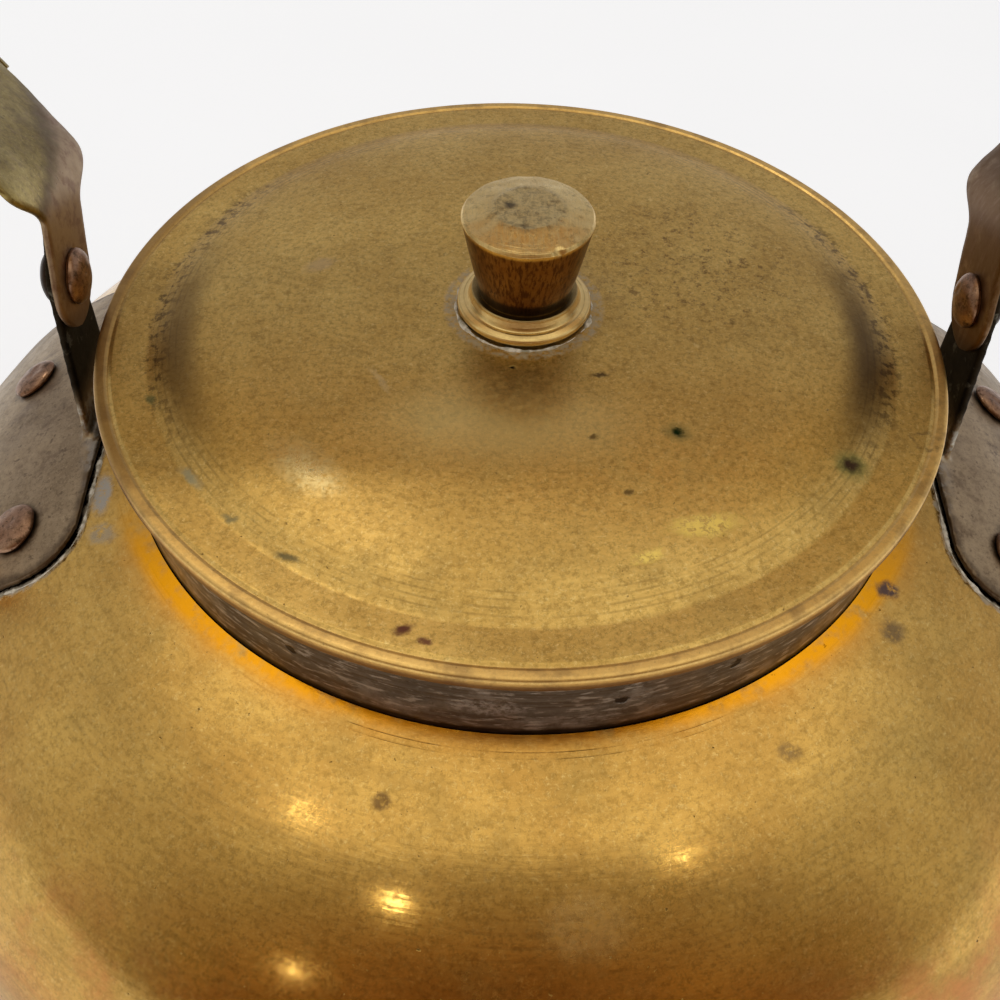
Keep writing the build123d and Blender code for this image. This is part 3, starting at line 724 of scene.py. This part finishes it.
def knob_finish():
    metal = start_metal("turned_brass_knob")
    ground(metal, "#d6b068", "#f4d286", 4.0, 0.27, 0.08)
    grain(metal, 0.6, "#8a6c3a", "#ffe9ac", 0.40)
    up = metal.z
    scratches = []
    for turn, pull, low, high in ((0.9, (4.4, 0.35, 0.5), 0.50, 0.62), (-0.5, (0.35, 4.2, 0.5), 0.53, 0.64)):
        drawn = add(metal.tree, "Mapping", {"Vector": metal.mm, "Rotation": (0, 0, turn), "Scale": pull})
        scratches.append(cloud(metal, 1.0, low, high, detail=6.0, ragged=0.8, where=drawn.outputs[0]))
    lines, cross = scratches
    plateau = ramp(metal.tree, metal.out, 6.2, 4.9)
    top = ramp(metal.tree, up, knob_edge - 0.6, knob_edge + 0.2)
    plateau = both(metal, plateau, top)
    tint(metal, plateau, "#a58a5c", 0.6)
    tint(metal, both(metal, lines, plateau), "#7d6641", 0.7)
    tint(metal, both(metal, lines, top), "#9a8050", 0.35)
    tint(metal, both(metal, cross, top), "#e4c684", 0.5)
    carve(metal, both(metal, lines, top), 0.012)
    tint(metal, top, "#ffe6a2", 0.5)
    tint(metal, both(metal, cloud(metal, 1.3, 0.50, 0.66, detail=8.0, ragged=0.8), top), "#7d6236", 0.45)
    tint(metal, both(metal, cloud(metal, 1.0, 0.46, 0.60, detail=8.0, ragged=0.8), plateau), "#5d4a30", 0.45)
    tint(metal, spot(metal, (-2.6, 0.4, knob_edge + 1.2), (1.7, 1.2, 2), soft=0.8), "#3b3430", 0.8)
    tint(metal, spot(metal, (-0.6, -4.4, knob_edge + 0.9), (1.8, 0.8, 2), soft=0.8), "#54452f", 0.6)

    # Painted reflection: the knob's side is made dark red-brown, with darker streaks.
    side = band(metal, up, foot_top + 0.2, knob_edge - 0.9, 0.35)
    tint(metal, side, "#66350f", 0.85)
    drawn = add(metal.tree, "Mapping", {"Vector": metal.mm, "Scale": (2.4, 2.4, 0.3)})
    tint(metal, both(metal, side, cloud(metal, 1.0, 0.44, 0.60, where=drawn.outputs[0])), "#3a1a08", 0.75)
    # Painted shade: near black where the knob's narrow bottom goes into the turned foot.
    tint(metal, band(metal, up, foot_top - 0.2, foot_top + 2.2, 0.5), "#1c0d05", 0.9)
    foot = ramp(metal.tree, up, foot_top + 0.1, foot_top - 0.3)
    tint(metal, foot, "#ffe39c", 0.6)
    turned = grooves(metal, metal.out, 7.6, 10.0, 0.75, 0.015)
    tint(metal, both(metal, turned, foot), "#8a6a34", 0.45)
    # Painted shadow: dark under the foot's rounded rim, at its base on the lid.
    tint(metal, ramp(metal.tree, up, crown + 0.8, crown + 0.4), "#2a1d10", 0.85)
    return close_metal(metal)


def inside_finish():
    metal = start_metal("dull_brass_inside")
    ground(metal, "#8c7446", "#b2965c", 10, 0.40, 0.12)
    tint(metal, cloud(metal, 4.0, 0.48, 0.68), "#6c5836", 0.6)
    lime = cloud(metal, 2.2, 0.54, 0.66)
    tint(metal, lime, "#b8b09a", 0.6)
    rings = cloud(metal, 0.8, 0.40, 0.66, detail=3.0, where=metal.turned)
    carve(metal, rings, 0.01)
    return close_metal(metal)


def lime_finish():
    """Limescale: chalk left by drying water, white grey with a little green in it."""
    material, surface, chalk, _ = matt("limescale", 900.0, "#a8a490", "#f6f4ea", (0.35, 0.60))
    bump = add(material.node_tree, "Bump", {"Height": chalk, "Strength": 0.6, "Distance": 0.1 * MM})
    material.node_tree.links.new(bump.outputs[0], surface["Normal"])
    return material


ear_brown = ear_finish()
strap_brass = strap_finish()
rivet_copper = rivet_finish()
pan_copper = pan_finish()
spout_brass = spout_finish()
knob_brass = knob_finish()
inside_brass = inside_finish()
limescale = lime_finish()
print("finishes", len(bpy.data.materials), "in all")

# %% [markdown]
# ## Spinning sheet metal
#
# Body, lid and knob were made on a lathe, so each is one profile turned about the middle. A
# profile is drawn as corners with a radius each, the way a spinner's roller leaves them, and then
# turned in fine steps. The frame's own meshes are turned as well, but a close view shows their
# facets and sharp corners, so these pieces are turned again, finer and with rounded edges.

# %% Profiles
def soften(corners, steps=7):
    """Points of (radius, height) along corners of (radius, height, bend), each bend an arc."""
    out = []
    for i, (r, z, bend) in enumerate(corners):
        here = Vector((r, z))
        if bend == 0 or i in (0, len(corners) - 1):
            out.append(here)
            continue
        before, after = Vector(corners[i - 1][:2]) - here, Vector(corners[i + 1][:2]) - here
        half = before.angle(after) / 2
        reach = min(bend / math.tan(half), before.length * 0.49, after.length * 0.49)
        start, end = here + before.normalized() * reach, here + after.normalized() * reach
        for k in range(steps + 1):
            t = k / steps
            out.append(start * (1 - t) ** 2 + here * 2 * t * (1 - t) + end * t * t)
    return [(p.x, p.y) for p in out]


def refine(points, step):
    """The same line with no run longer than a step, so that dents have points to move."""
    out = [points[0]]
    for a, b in zip(points, points[1:]):
        runs = max(1, math.ceil(math.dist(a, b) / step))
        across, up = (b[0] - a[0]) / runs, (b[1] - a[1]) / runs
        out += [(a[0] + across * k, a[1] + up * k) for k in range(1, runs + 1)]
    return out


def join_faces(name, places, faces, merge=False):
    """Mesh of faces that all look outward; merging closes the ends of a turned one."""
    data = bpy.data.meshes.new(name)
    data.from_pydata(places, [], faces)
    shape = bmesh.new()
    shape.from_mesh(data)
    if merge:
        bmesh.ops.remove_doubles(shape, verts=shape.verts, dist=1e-6)
    bmesh.ops.recalc_face_normals(shape, faces=shape.faces)
    shape.to_mesh(data)
    shape.free()
    return data


def finish_mesh(name, data, material, body, nodes=(), sharp=32):
    """Object from a mesh, smooth but for sharp bends, riding on its body in place of its nodes."""
    data.shade_smooth()
    data.set_sharp_from_angle(angle=math.radians(sharp))
    piece = bpy.data.objects.new(name, data)
    scene.collection.objects.link(piece)
    data.materials.clear()
    data.materials.append(material)
    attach(piece, body)
    if nodes:
        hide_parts(*nodes)
    return piece


def spin(name, profile, steps, closed=False):
    """Mesh of a profile in millimetres turned about Z; a closed profile is a sheet's section."""
    count = len(profile)
    places = []
    for r, z in profile:
        for k in range(steps):
            turn = 2 * math.pi * k / steps
            places.append((r * math.cos(turn) * MM, r * math.sin(turn) * MM, z * MM))
    rows = count if closed else count - 1
    faces = []
    for i in range(rows):
        j = (i + 1) % count
        for k in range(steps):
            n = (k + 1) % steps
            faces.append((i * steps + k, i * steps + n, j * steps + n, j * steps + k))
    return join_faces(name, places, faces, merge=True)


def dent(data, depth, size, seed):
    """Press the surface inward by up to a depth in millimetres, in soft hollows of a size."""
    for v, n in zip(data.vertices, [v.normal.copy() for v in data.vertices]):
        hollow = 0.5 + 0.5 * noise.noise(v.co / (size * MM) + Vector((seed, 3 * seed, 0)))
        v.co -= n * depth * MM * hollow
    data.update()


print("a softened corner has", len(soften([(0, 0, 0), (5, 0, 1), (5, 5, 0)])), "points")

# %% [markdown]
# ## The body and its pan
#
# One sheet, spun over a form: a wide belly, a long shoulder and an open mouth. Its section is a
# closed line, up the outside and down the inside a sheet's thickness away. The pan below it is a
# disc whose edge is turned up and lapped round the body's foot.

# %% Body
def body_line(out, low, high=None, steps=40):
    """Section of the body moved outward, from a height up to the mouth, in millimetres."""
    line = []
    start = math.asin((belly_height - low) / (flank_down + out))
    stop = math.asin((belly_height - high) / (flank_down + out)) if high else 0.0
    for k in range(steps + 1):
        turn = -start + (start - stop) * k / steps
        line.append((flank_centre + (flank_across + out) * math.cos(turn),
                     belly_height + (flank_down + out) * math.sin(turn)))
    if high:
        return line
    end = math.acos((mouth_radius - shoulder_centre) / (shoulder_across + out))
    for k in range(1, steps + 1):
        turn = end * k / steps
        line.append((shoulder_centre + (shoulder_across + out) * math.cos(turn),
                     belly_height + (shoulder_up + out) * math.sin(turn)))
    return line


def make_body():
    outside = refine(body_line(0, pan_sheet), 3.0)
    inside = refine(body_line(-sheet, pan_sheet), 6.0)
    data = spin("body_sheet", outside + inside[::-1], 360, closed=True)
    dent(data, 0.22, 30, 2.0)
    return finish_mesh("body_sheet", data, body_brass, "kettle", ["body_shell"])


def make_pan():
    outside = body_line(pan_sheet, 0.0, pan_height, 8)
    inside = body_line(0, pan_sheet, pan_height, 8)
    corner = outside[0][0]
    line = [(0, 0, 0), (corner, 0, 0.9)] + [(r, z, 0.4) for r, z in outside[1:]]
    line += [(r, z, 0) for r, z in inside[::-1]] + [(0, pan_sheet, 0)]
    data = spin("bottom_pan", refine(soften(line), 4.0), 240)
    return finish_mesh("bottom_pan", data, pan_copper, "kettle", ["base_pan"])


body = make_body()
pan = make_pan()
print("body", len(body.data.polygons), "faces, pan", len(pan.data.polygons), "faces")

# %% [markdown]
# ## The collar and the lid
#
# The collar is a plain ring standing in the mouth, no longer quite round. The lid is a low dome
# that rises from a flat ring, with its edge rolled over to make a bead.

# %% Collar and lid
def make_collar():
    line = [(mouth_radius - collar_sheet, collar_foot, 0.0), (mouth_radius, collar_foot, 0.3),
            (mouth_radius, collar_top, 0.5), (mouth_radius - collar_sheet, collar_top, 0.5),
            (mouth_radius - collar_sheet, collar_foot, 0.0)]
    data = spin("collar_ring", refine(soften(line)[:-1], 1.2), 300, closed=True)
    dent(data, 0.12, 12, 5.0)
    return finish_mesh("collar_ring", data, tinned_brass, "kettle", ["neck_collar"])


def make_lid():
    edge = lid_radius
    top = [(stud_radius, crown, 0), (crown_flat, crown, 0)]
    for k in range(1, 22):
        turn = math.pi / 2 * (1 - k / 24)
        top.append((crown_flat + (dome_radius - crown_flat) * math.cos(turn),
                    lid_flange + dome_rise * math.sin(turn), 0))
    rest = [
        (dome_radius + 1.5, lid_flange, 3.0),
        (edge - rim_width - 0.6, lid_flange, 0.8), (edge - rim_width, lid_flange - 0.25, 0.3),
        (edge - rim_width + 0.45, lid_flange, 0.4), (edge, lid_flange, 1.1), (edge, lid_lip, 0.9),
        (edge - rim_width, lid_lip, 0.5), (edge - rim_width, lid_lip + rim_drop, 0),
        (dome_radius - lid_sheet, lid_lip + rim_drop, 0.5), (crown_flat, crown - lid_sheet, 20),
        (stud_radius, crown - lid_sheet, 0),
    ]
    line = refine(soften(top + rest), 2.0)
    data = spin("lid_sheet", line, 360, closed=True)
    dent(data, 0.08, 18, 7.0)
    return finish_mesh("lid_sheet", data, lid_brass, "lid", ["lid_cover"])


collar = make_collar()
lid = make_lid()
print("collar", len(collar.data.polygons), "faces, lid", len(lid.data.polygons), "faces")

# %% [markdown]
# ## The knob
#
# A turned cone standing on its narrow end. Its crown is a wide slanted edge round a flat middle,
# worn by a hundred years of fingers. It stands on a turned foot with a rounded rim and a small
# collar. A blow once nicked the edge, so the turned mesh is pushed in there.

# %% Knob and foot
def make_knob():
    line = [
        (0, knob_edge + knob_crown, 0), (4.9, knob_edge + knob_crown - 0.02, 1.6),
        (knob_top - 0.35, knob_edge + 0.22, 0.25), (knob_top, knob_edge - 0.25, 0.25),
        (knob_bottom + 0.9, foot_top + 4.0, 6.0), (knob_bottom, foot_top, 0.0),
        (stud_radius, foot_top, 0), (stud_radius, foot_top + 7.0, 0), (0, foot_top + 7.0, 0),
    ]
    data = spin("knob_cone", refine(soften(line), 0.5), 180)
    nick = Vector((4.3, -8.6, knob_edge)) * MM
    for v in data.vertices:
        near = max(0.0, 1 - (v.co - nick).length / (1.1 * MM))
        v.co -= Vector((0.3, -0.6, 0.75)) * near * 0.55 * MM
        rough = noise.noise(v.co / (1.7 * MM))
        if v.co.z > (knob_edge - 0.5) * MM:
            v.co.z -= (0.10 + 0.10 * rough) * MM
            v.co.xy *= 1 - 0.006 * max(0.0, rough)
    return finish_mesh("knob_cone", data, knob_brass, "lid", ["knob"])


def make_foot():
    line = [
        (stud_radius, crown, 0), (foot_radius - 0.25, crown, 0.2), (foot_radius - 0.25, crown + 0.55, 0.15),
        (foot_radius, crown + 0.75, 0.3), (foot_radius, crown + 1.5, 0.7),
        (foot_radius - 1.0, crown + 1.95, 0.5), (8.7, crown + 1.95, 0.5),
        (8.35, crown + 2.5, 0.6), (8.1, crown + 3.1, 0.25), (8.0, foot_top, 0.3),
        (7.2, foot_top, 0.2), (stud_radius, foot_top, 0),
    ]
    data = spin("knob_ring", refine(soften(line), 0.4), 180, closed=True)
    return finish_mesh("knob_ring", data, knob_brass, "lid", ["knob_foot"])


knob = make_knob()
foot = make_foot()
print("knob", len(knob.data.polygons), "faces, foot", len(foot.data.polygons), "faces")

# %% [markdown]
# ## The ears
#
# Each ear is a thick plate beaten to lie on the shoulder, with a lug that stands up for the
# handle. Its edges were filed and are long worn. The frame's plate has the right outline, so a
# copy is cut into small even faces, its edges are rubbed round by smoothing, and its face gets the
# faint lumps of a hammer.

# %% Ears
def worn_copy(node, grain, rounds):
    """Mesh of a frame node, cut into small even faces with its edges worn round."""
    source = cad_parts[node]
    data = source.data.copy()
    data.transform(source.matrix_world)
    draft = bpy.data.objects.new(node + "_draft", data)
    scene.collection.objects.link(draft)
    cut = draft.modifiers.new("cut", "REMESH")
    cut.mode = "VOXEL"
    cut.voxel_size = grain * MM
    wear = draft.modifiers.new("wear", "SMOOTH")
    wear.factor = 0.5
    wear.iterations = rounds
    ready = draft.evaluated_get(bpy.context.evaluated_depsgraph_get())
    worn = bpy.data.meshes.new_from_object(ready)
    bpy.data.objects.remove(draft)
    return worn


def make_ear(side_name):
    data = worn_copy(side_name + "_ear", 0.42, 5)
    dent(data, 0.16, 5.5, 4.0)
    return finish_mesh(side_name + "_ear_plate", data, ear_brown, "kettle", [side_name + "_ear"],
                       sharp=180)


ears = [make_ear(side_name) for side_name in ("left", "right")]
print("ears", [len(e.data.polygons) for e in ears], "faces")

# %% [markdown]
# ## Rivets
#
# Soft copper pins, pushed through both sheets and hammered over. No two heads are alike: each is
# a low dome with a few flats from the hammer. One profile is turned for all, set on its seat, and
# beaten a little with noise of its own.

# %% Rivets
def quarter_turn(steps):
    """Sines and cosines at even steps over a quarter turn."""
    turns = [math.pi / 2 * k / steps for k in range(steps + 1)]
    return [(math.sin(a), math.cos(a)) for a in turns]


def make_rivet(node, seat, facing, head, rise, shank, grip, tail, tail_rise, body, seed):
    """Rivet in place of a frame node, its head's foot on a seat and facing outward."""
    brim = 0.25 * rise
    dome = [(head * a, brim + (rise - brim) * b) for a, b in quarter_turn(9)]
    end = [(tail * a, -grip - tail_rise * b) for a, b in quarter_turn(6)[::-1]]
    line = dome + [(head * 0.96, 0.1), (head * 0.86, -0.02), (shank, -0.02), (shank, -grip)] + end
    data = spin(node, refine(line, 0.5), 48)
    for v in data.vertices:
        blow = noise.noise(v.co / (2.3 * MM) + Vector((seed * 7.3, seed, 0)))
        if v.co.z > 0:
            v.co.z *= 0.94 + 0.16 * min(0.0, blow)
            v.co.xy *= 0.975 + 0.05 * noise.noise(v.co / (3.1 * MM) + Vector((0, seed * 3.7, seed))) - 0.012
    turn = Vector(facing).to_track_quat("Z", "Y").to_matrix().to_4x4()
    data.transform(Matrix.Translation(Vector(seat) * MM) @ turn)
    return finish_mesh(node + "_copper", data, rivet_copper, body, [node])


def side_at(y, z):
    """Point of the body's side that faces the spout, level with a height."""
    if z >= belly_height:
        r = shoulder_centre + shoulder_across * math.sqrt(1 - ((z - belly_height) / shoulder_up) ** 2)
        slope = ((r - shoulder_centre) / shoulder_across ** 2, (z - belly_height) / shoulder_up ** 2)
    else:
        r = flank_centre + flank_across * math.sqrt(1 - ((belly_height - z) / flank_down) ** 2)
        slope = ((r - flank_centre) / flank_across ** 2, (z - belly_height) / flank_down ** 2)
    x = -math.sqrt(r ** 2 - y ** 2)
    return Vector((x, y, z)), Vector((x / r * slope[0], y / r * slope[0], slope[1])).normalized()


def make_rivets():
    made = []
    for side_name, side in (("left", -1), ("right", 1)):
        for number, (x, y) in enumerate(ear_rivets, start=1):
            point, facing = shoulder_at(side * x, y)
            made.append(make_rivet(f"{side_name}_ear_rivet_{number}", point + facing * ear_sheet, facing,
                                   head_radius, head_rise, shank_radius, ear_sheet + sheet + rivet_play,
                                   tail_radius, tail_rise, "kettle", number + 3 * side))
        seat = Vector((side * strap_inner, 0, pivot_height))
        made.append(make_rivet(side_name + "_pivot_rivet", seat, (-side, 0, 0), head_radius, pivot_rise,
                               pivot_radius, pivot_grip, head_radius, pivot_rise, "handle", 11 + side))
    for number in range(1, 7):
        angle = math.radians(60 * (number - 0.5))
        point, facing = side_at(flange_across * math.sin(angle), flange_middle + flange_up * math.cos(angle))
        made.append(make_rivet(f"spout_rivet_{number}", point + facing * flange_sheet, facing,
                               tail_radius, head_rise, shank_radius, flange_sheet + sheet + rivet_play,
                               tail_radius, tail_rise, "kettle", 20 + number))
    return made


rivets = make_rivets()
print("rivets", len(rivets))

# %% [markdown]
# ## The handle
#
# One strap cut from sheet ends in a round tongue on each lug's inner face, and a second one lies on
# it round the grip, hemmed down over its edges. A strap could be bent from a flat plate with a
# modifier, but sweeping its thin section along the bend gives the width at each height in plain
# numbers, and lets the cut edges wander as tin snips leave them.

# %% Line of the handle
def handle_line():
    """Half of the strap's line: (x, up, outward x, outward up) from the tongue's end to the top."""
    tongue = [-tongue_radius * math.cos(math.pi / 2 * k / 12) for k in range(12)]
    line = [(strap_inner, up, 1.0, 0.0) for up in tongue + [0.8 * k for k in range(13)]]
    centre = (strap_inner + bend_radius, bend_start)
    for k in range(0, 25):
        a = math.radians(bend_turn * k / 24)
        line.append((centre[0] - bend_radius * math.cos(a), centre[1] + bend_radius * math.sin(a),
                     math.cos(a), -math.sin(a)))
    x, up, nx, nup = line[-1]
    for k in range(1, 9):
        line.append((x - nup * splay_length * k / 8, up + nx * splay_length * k / 8, nx, nup))
    x, up, nx, nup = line[-1]
    centre = (x - side_radius * nx, up - side_radius * nup)
    for k in range(1, 45):
        a = math.radians(-bend_turn + side_turn * k / 44)
        line.append((centre[0] + side_radius * math.cos(a), centre[1] + side_radius * math.sin(a),
                     math.cos(a), math.sin(a)))
    x, up, nx, nup = line[-1]
    top = x / nx
    for k in range(1, 13):
        a = math.radians(side_turn - bend_turn + (90 + bend_turn - side_turn) * k / 12)
        line.append((top * math.cos(a), up - top * nup + top * math.sin(a), math.cos(a), math.sin(a)))
    return line


def strap_half_width(up):
    """Half width of the inner strap at a height above the pivots, with the cut corners eased."""
    knots = ((-99, tongue_radius), (tongue_length, tongue_radius), (shoulder_low, shoulder_half),
             (shoulder_high, shoulder_half), (grip_start, grip_half - strap), (999, grip_half - strap))
    total = 0.0
    for k in range(-4, 5):
        at = up + 0.35 * k
        for (low, start), (high, end) in zip(knots, knots[1:]):
            if low <= at <= high:
                total += start + (end - start) * (at - low) / (high - low)
                break
    return math.sqrt(max(0.0, tongue_radius ** 2 - up ** 2)) if up < 0 else total / 9


def sweep(name, line, section):
    """Closed mesh along the handle's line; section(x, up) gives a loop of (across, outward)."""
    wide = Vector((0, math.cos(lean), -math.sin(lean)))
    tall = Vector((0, math.sin(lean), math.cos(lean)))
    places, faces = [], []
    size = 0
    for x, up, nx, nup in line:
        loop = section(x, up)
        size = len(loop)
        for across, out in loop:
            p = Vector((x + nx * out, 0, pivot_height)) + tall * (up + nup * out) + wide * across
            places.append(p * MM)
    for i in range(len(line) - 1):
        for k in range(size):
            n = (k + 1) % size
            faces.append((i * size + k, i * size + n, (i + 1) * size + n, (i + 1) * size + k))
    faces.append(tuple(range(size)))
    faces.append(tuple(range(len(line) * size - size, len(line) * size))[::-1])
    return join_faces(name, places, faces)


def thin_section(half, low, high, points=15):
    """Section of a sheet: flat faces and round cut edges, as (across, outward) pairs."""
    round_off = (high - low) / 2
    flat = max(0.02, half - round_off)
    middle = (high + low) / 2
    bends = (math.pi * 0.25, math.pi * 0.5, math.pi * 0.75)
    loop = [(flat * (2 * k / points - 1), high) for k in range(points + 1)]
    loop += [(flat + round_off * math.sin(a), middle + round_off * math.cos(a)) for a in bends]
    loop += [(flat * (1 - 2 * k / points), low) for k in range(points + 1)]
    loop += [(-flat - round_off * math.sin(a), middle - round_off * math.cos(a)) for a in bends]
    return loop


def hem_section(half, low, high, bend=0.8, points=15):
    """Section of a sheet whose edges are turned down, as (across, outward) pairs."""
    flat = half - bend
    loop = [(flat * (2 * k / points - 1), high) for k in range(points + 1)]
    turn = [(flat + bend * math.sin(a), high - bend + bend * math.cos(a)) for a in
            [math.pi / 2 * k / 5 for k in range(1, 6)]]
    wall = turn + [(half, 0.25), (half - 0.2, 0.05), (half - strap + 0.1, 0.05), (half - strap, 0.2),
                   (half - strap, low)]
    loop += wall
    loop += [(-across, out) for across, out in wall[::-1]]
    return loop


# %% Straps
def wander(x, up, seed):
    """How far a cut edge strays at a place on the strap, about -1 to 1."""
    slow = noise.noise(Vector((x / 9.0, up / 9.0, seed)))
    quick = noise.noise(Vector((x / 2.2, up / 2.2, seed)))
    return slow + 0.6 * quick


def make_strap(name, node, start, section):
    """One strap along the handle's line, from a height above one pivot to the same above the other."""
    half_line = [p for p in handle_line() if p[1] >= start - 0.001]
    data = sweep(name, half_line + [(-x, up, -nx, nup) for x, up, nx, nup in half_line[-2::-1]], section)
    for v in data.vertices:
        place = v.co / (14 * MM)
        v.co += Vector((noise.noise(place), noise.noise(place + Vector((5, 0, 0))), 0)) * 0.06 * MM
    return finish_mesh(name, data, strap_brass, "handle", [node], sharp=50)


def inner_section(x, up):
    covered = 0.25 if up > hem_start else 0.0
    half = strap_half_width(up) - covered - 0.16 - 0.22 * wander(x, up, 1.0)
    return thin_section(max(0.3, half), 0.0, strap)


def outer_section(x, up):
    half = grip_half - 0.16 - 0.12 * wander(x, up, 2.0)
    return hem_section(half, strap + strap_play, 2 * strap + strap_play)


inner_strap = make_strap("inner_strap", "handle_inner_strap", -tongue_radius, inner_section)
outer_strap = make_strap("outer_strap", "handle_outer_strap", hem_start, outer_section)
print("straps", len(inner_strap.data.polygons), len(outer_strap.data.polygons), "faces")

# %% [markdown]
# ## Spout, and the metal inside
#
# The spout's tube, rolled lip and flange keep the frame's shapes and get their own finish, as do
# the lid's skirt, its washer and the stud that holds the knob.

# %% Carried-over pieces
def dress(node, material):
    """Give a frame node a finish."""
    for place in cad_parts[node].material_slots:
        place.material = material


for node in ("spout_tube", "spout_lip", "spout_flange"):
    dress(node, spout_brass)
for node in ("lid_skirt", "knob_washer", "knob_stud"):
    dress(node, inside_brass)
print("dressed in place:", spout_brass.users, "with spout brass,", inside_brass.users, "with inside brass")

# %% [markdown]
# ## Limescale
#
# Water that dries in a seam leaves a low crust of chalk. It is real thickness, so it is a small
# ridge of mesh along the seam and not only a colour. Its height and width come and go.

# %% Limescale
def crust(name, path, facings, wide, high, body, seed):
    """Low broken ridge along a path in millimetres, standing up along the facings."""
    places, faces = [], []
    count = len(path)
    for i, (p, up) in enumerate(zip(path, facings)):
        ahead = (path[min(i + 1, count - 1)] - path[max(i - 1, 0)]).normalized()
        side = ahead.cross(up).normalized()
        swell = max(0.0, 0.55 + 1.1 * noise.noise(p / 2.6 + Vector((seed, 0, 0))))
        grow = swell * (0.8 + 0.5 * noise.noise(p / 0.7 + Vector((0, seed, 0))))
        for across, lift in ((-1, -0.25), (-0.75, 0.35), (-0.3, 0.9), (0.2, 1.0), (0.7, 0.5), (1, -0.25)):
            jag = 0.25 * noise.noise(p / 0.5 + Vector((across * 3, seed, 1)))
            off = side * wide * (across + jag) * max(0.15, grow)
            places.append((p + off + up * high * (lift * grow - 0.1)) * MM)
    for i in range(count - 1):
        for k in range(5):
            faces.append((i * 6 + k, i * 6 + k + 1, (i + 1) * 6 + k + 1, (i + 1) * 6 + k))
        faces.append((i * 6 + 5, i * 6, (i + 1) * 6, (i + 1) * 6 + 5))
    faces += [tuple(range(6))[::-1], tuple(range((count - 1) * 6, count * 6))]
    return finish_mesh(name, join_faces(name, places, faces), limescale, body, (), sharp=60)


def ring_path(radius, height, steps=220):
    turns = [2 * math.pi * k / steps for k in range(steps + 1)]
    return [Vector((radius * math.cos(a), radius * math.sin(a), height)) for a in turns]


def ear_path(side, start, end, gap=0.5):
    """Points on the shoulder just outside an ear's front corner, with the way the sheet faces."""
    left, low = ear_inner - gap, -ear_half_length - gap
    reach = ear_corner + gap
    inner_run = [(left, start + (low + reach - start) * k / 40) for k in range(40)]
    bend = [(left + reach - reach * math.cos(a), low + reach - reach * math.sin(a)) for a in
            [math.pi / 2 * k / 30 for k in range(31)]]
    outer_run = [(left + reach + (end - left - reach) * k / 40, low) for k in range(1, 41)]
    seats = [shoulder_at(side * x, y) for x, y in inner_run + bend + outer_run]
    return [s[0] for s in seats], [s[1] for s in seats]


ring = ring_path(foot_radius + 0.2, crown)
crust("lime_knob", ring, [Vector((0, 0, 1))] * len(ring), 0.60, 0.5, "lid", 3.0)
for side_name, side in (("left", -1), ("right", 1)):
    path, facings = ear_path(side, -12.0, 84.0)
    crust("lime_ear_" + side_name, path, facings, 0.55, 0.35, "kettle", 5.0 + side)
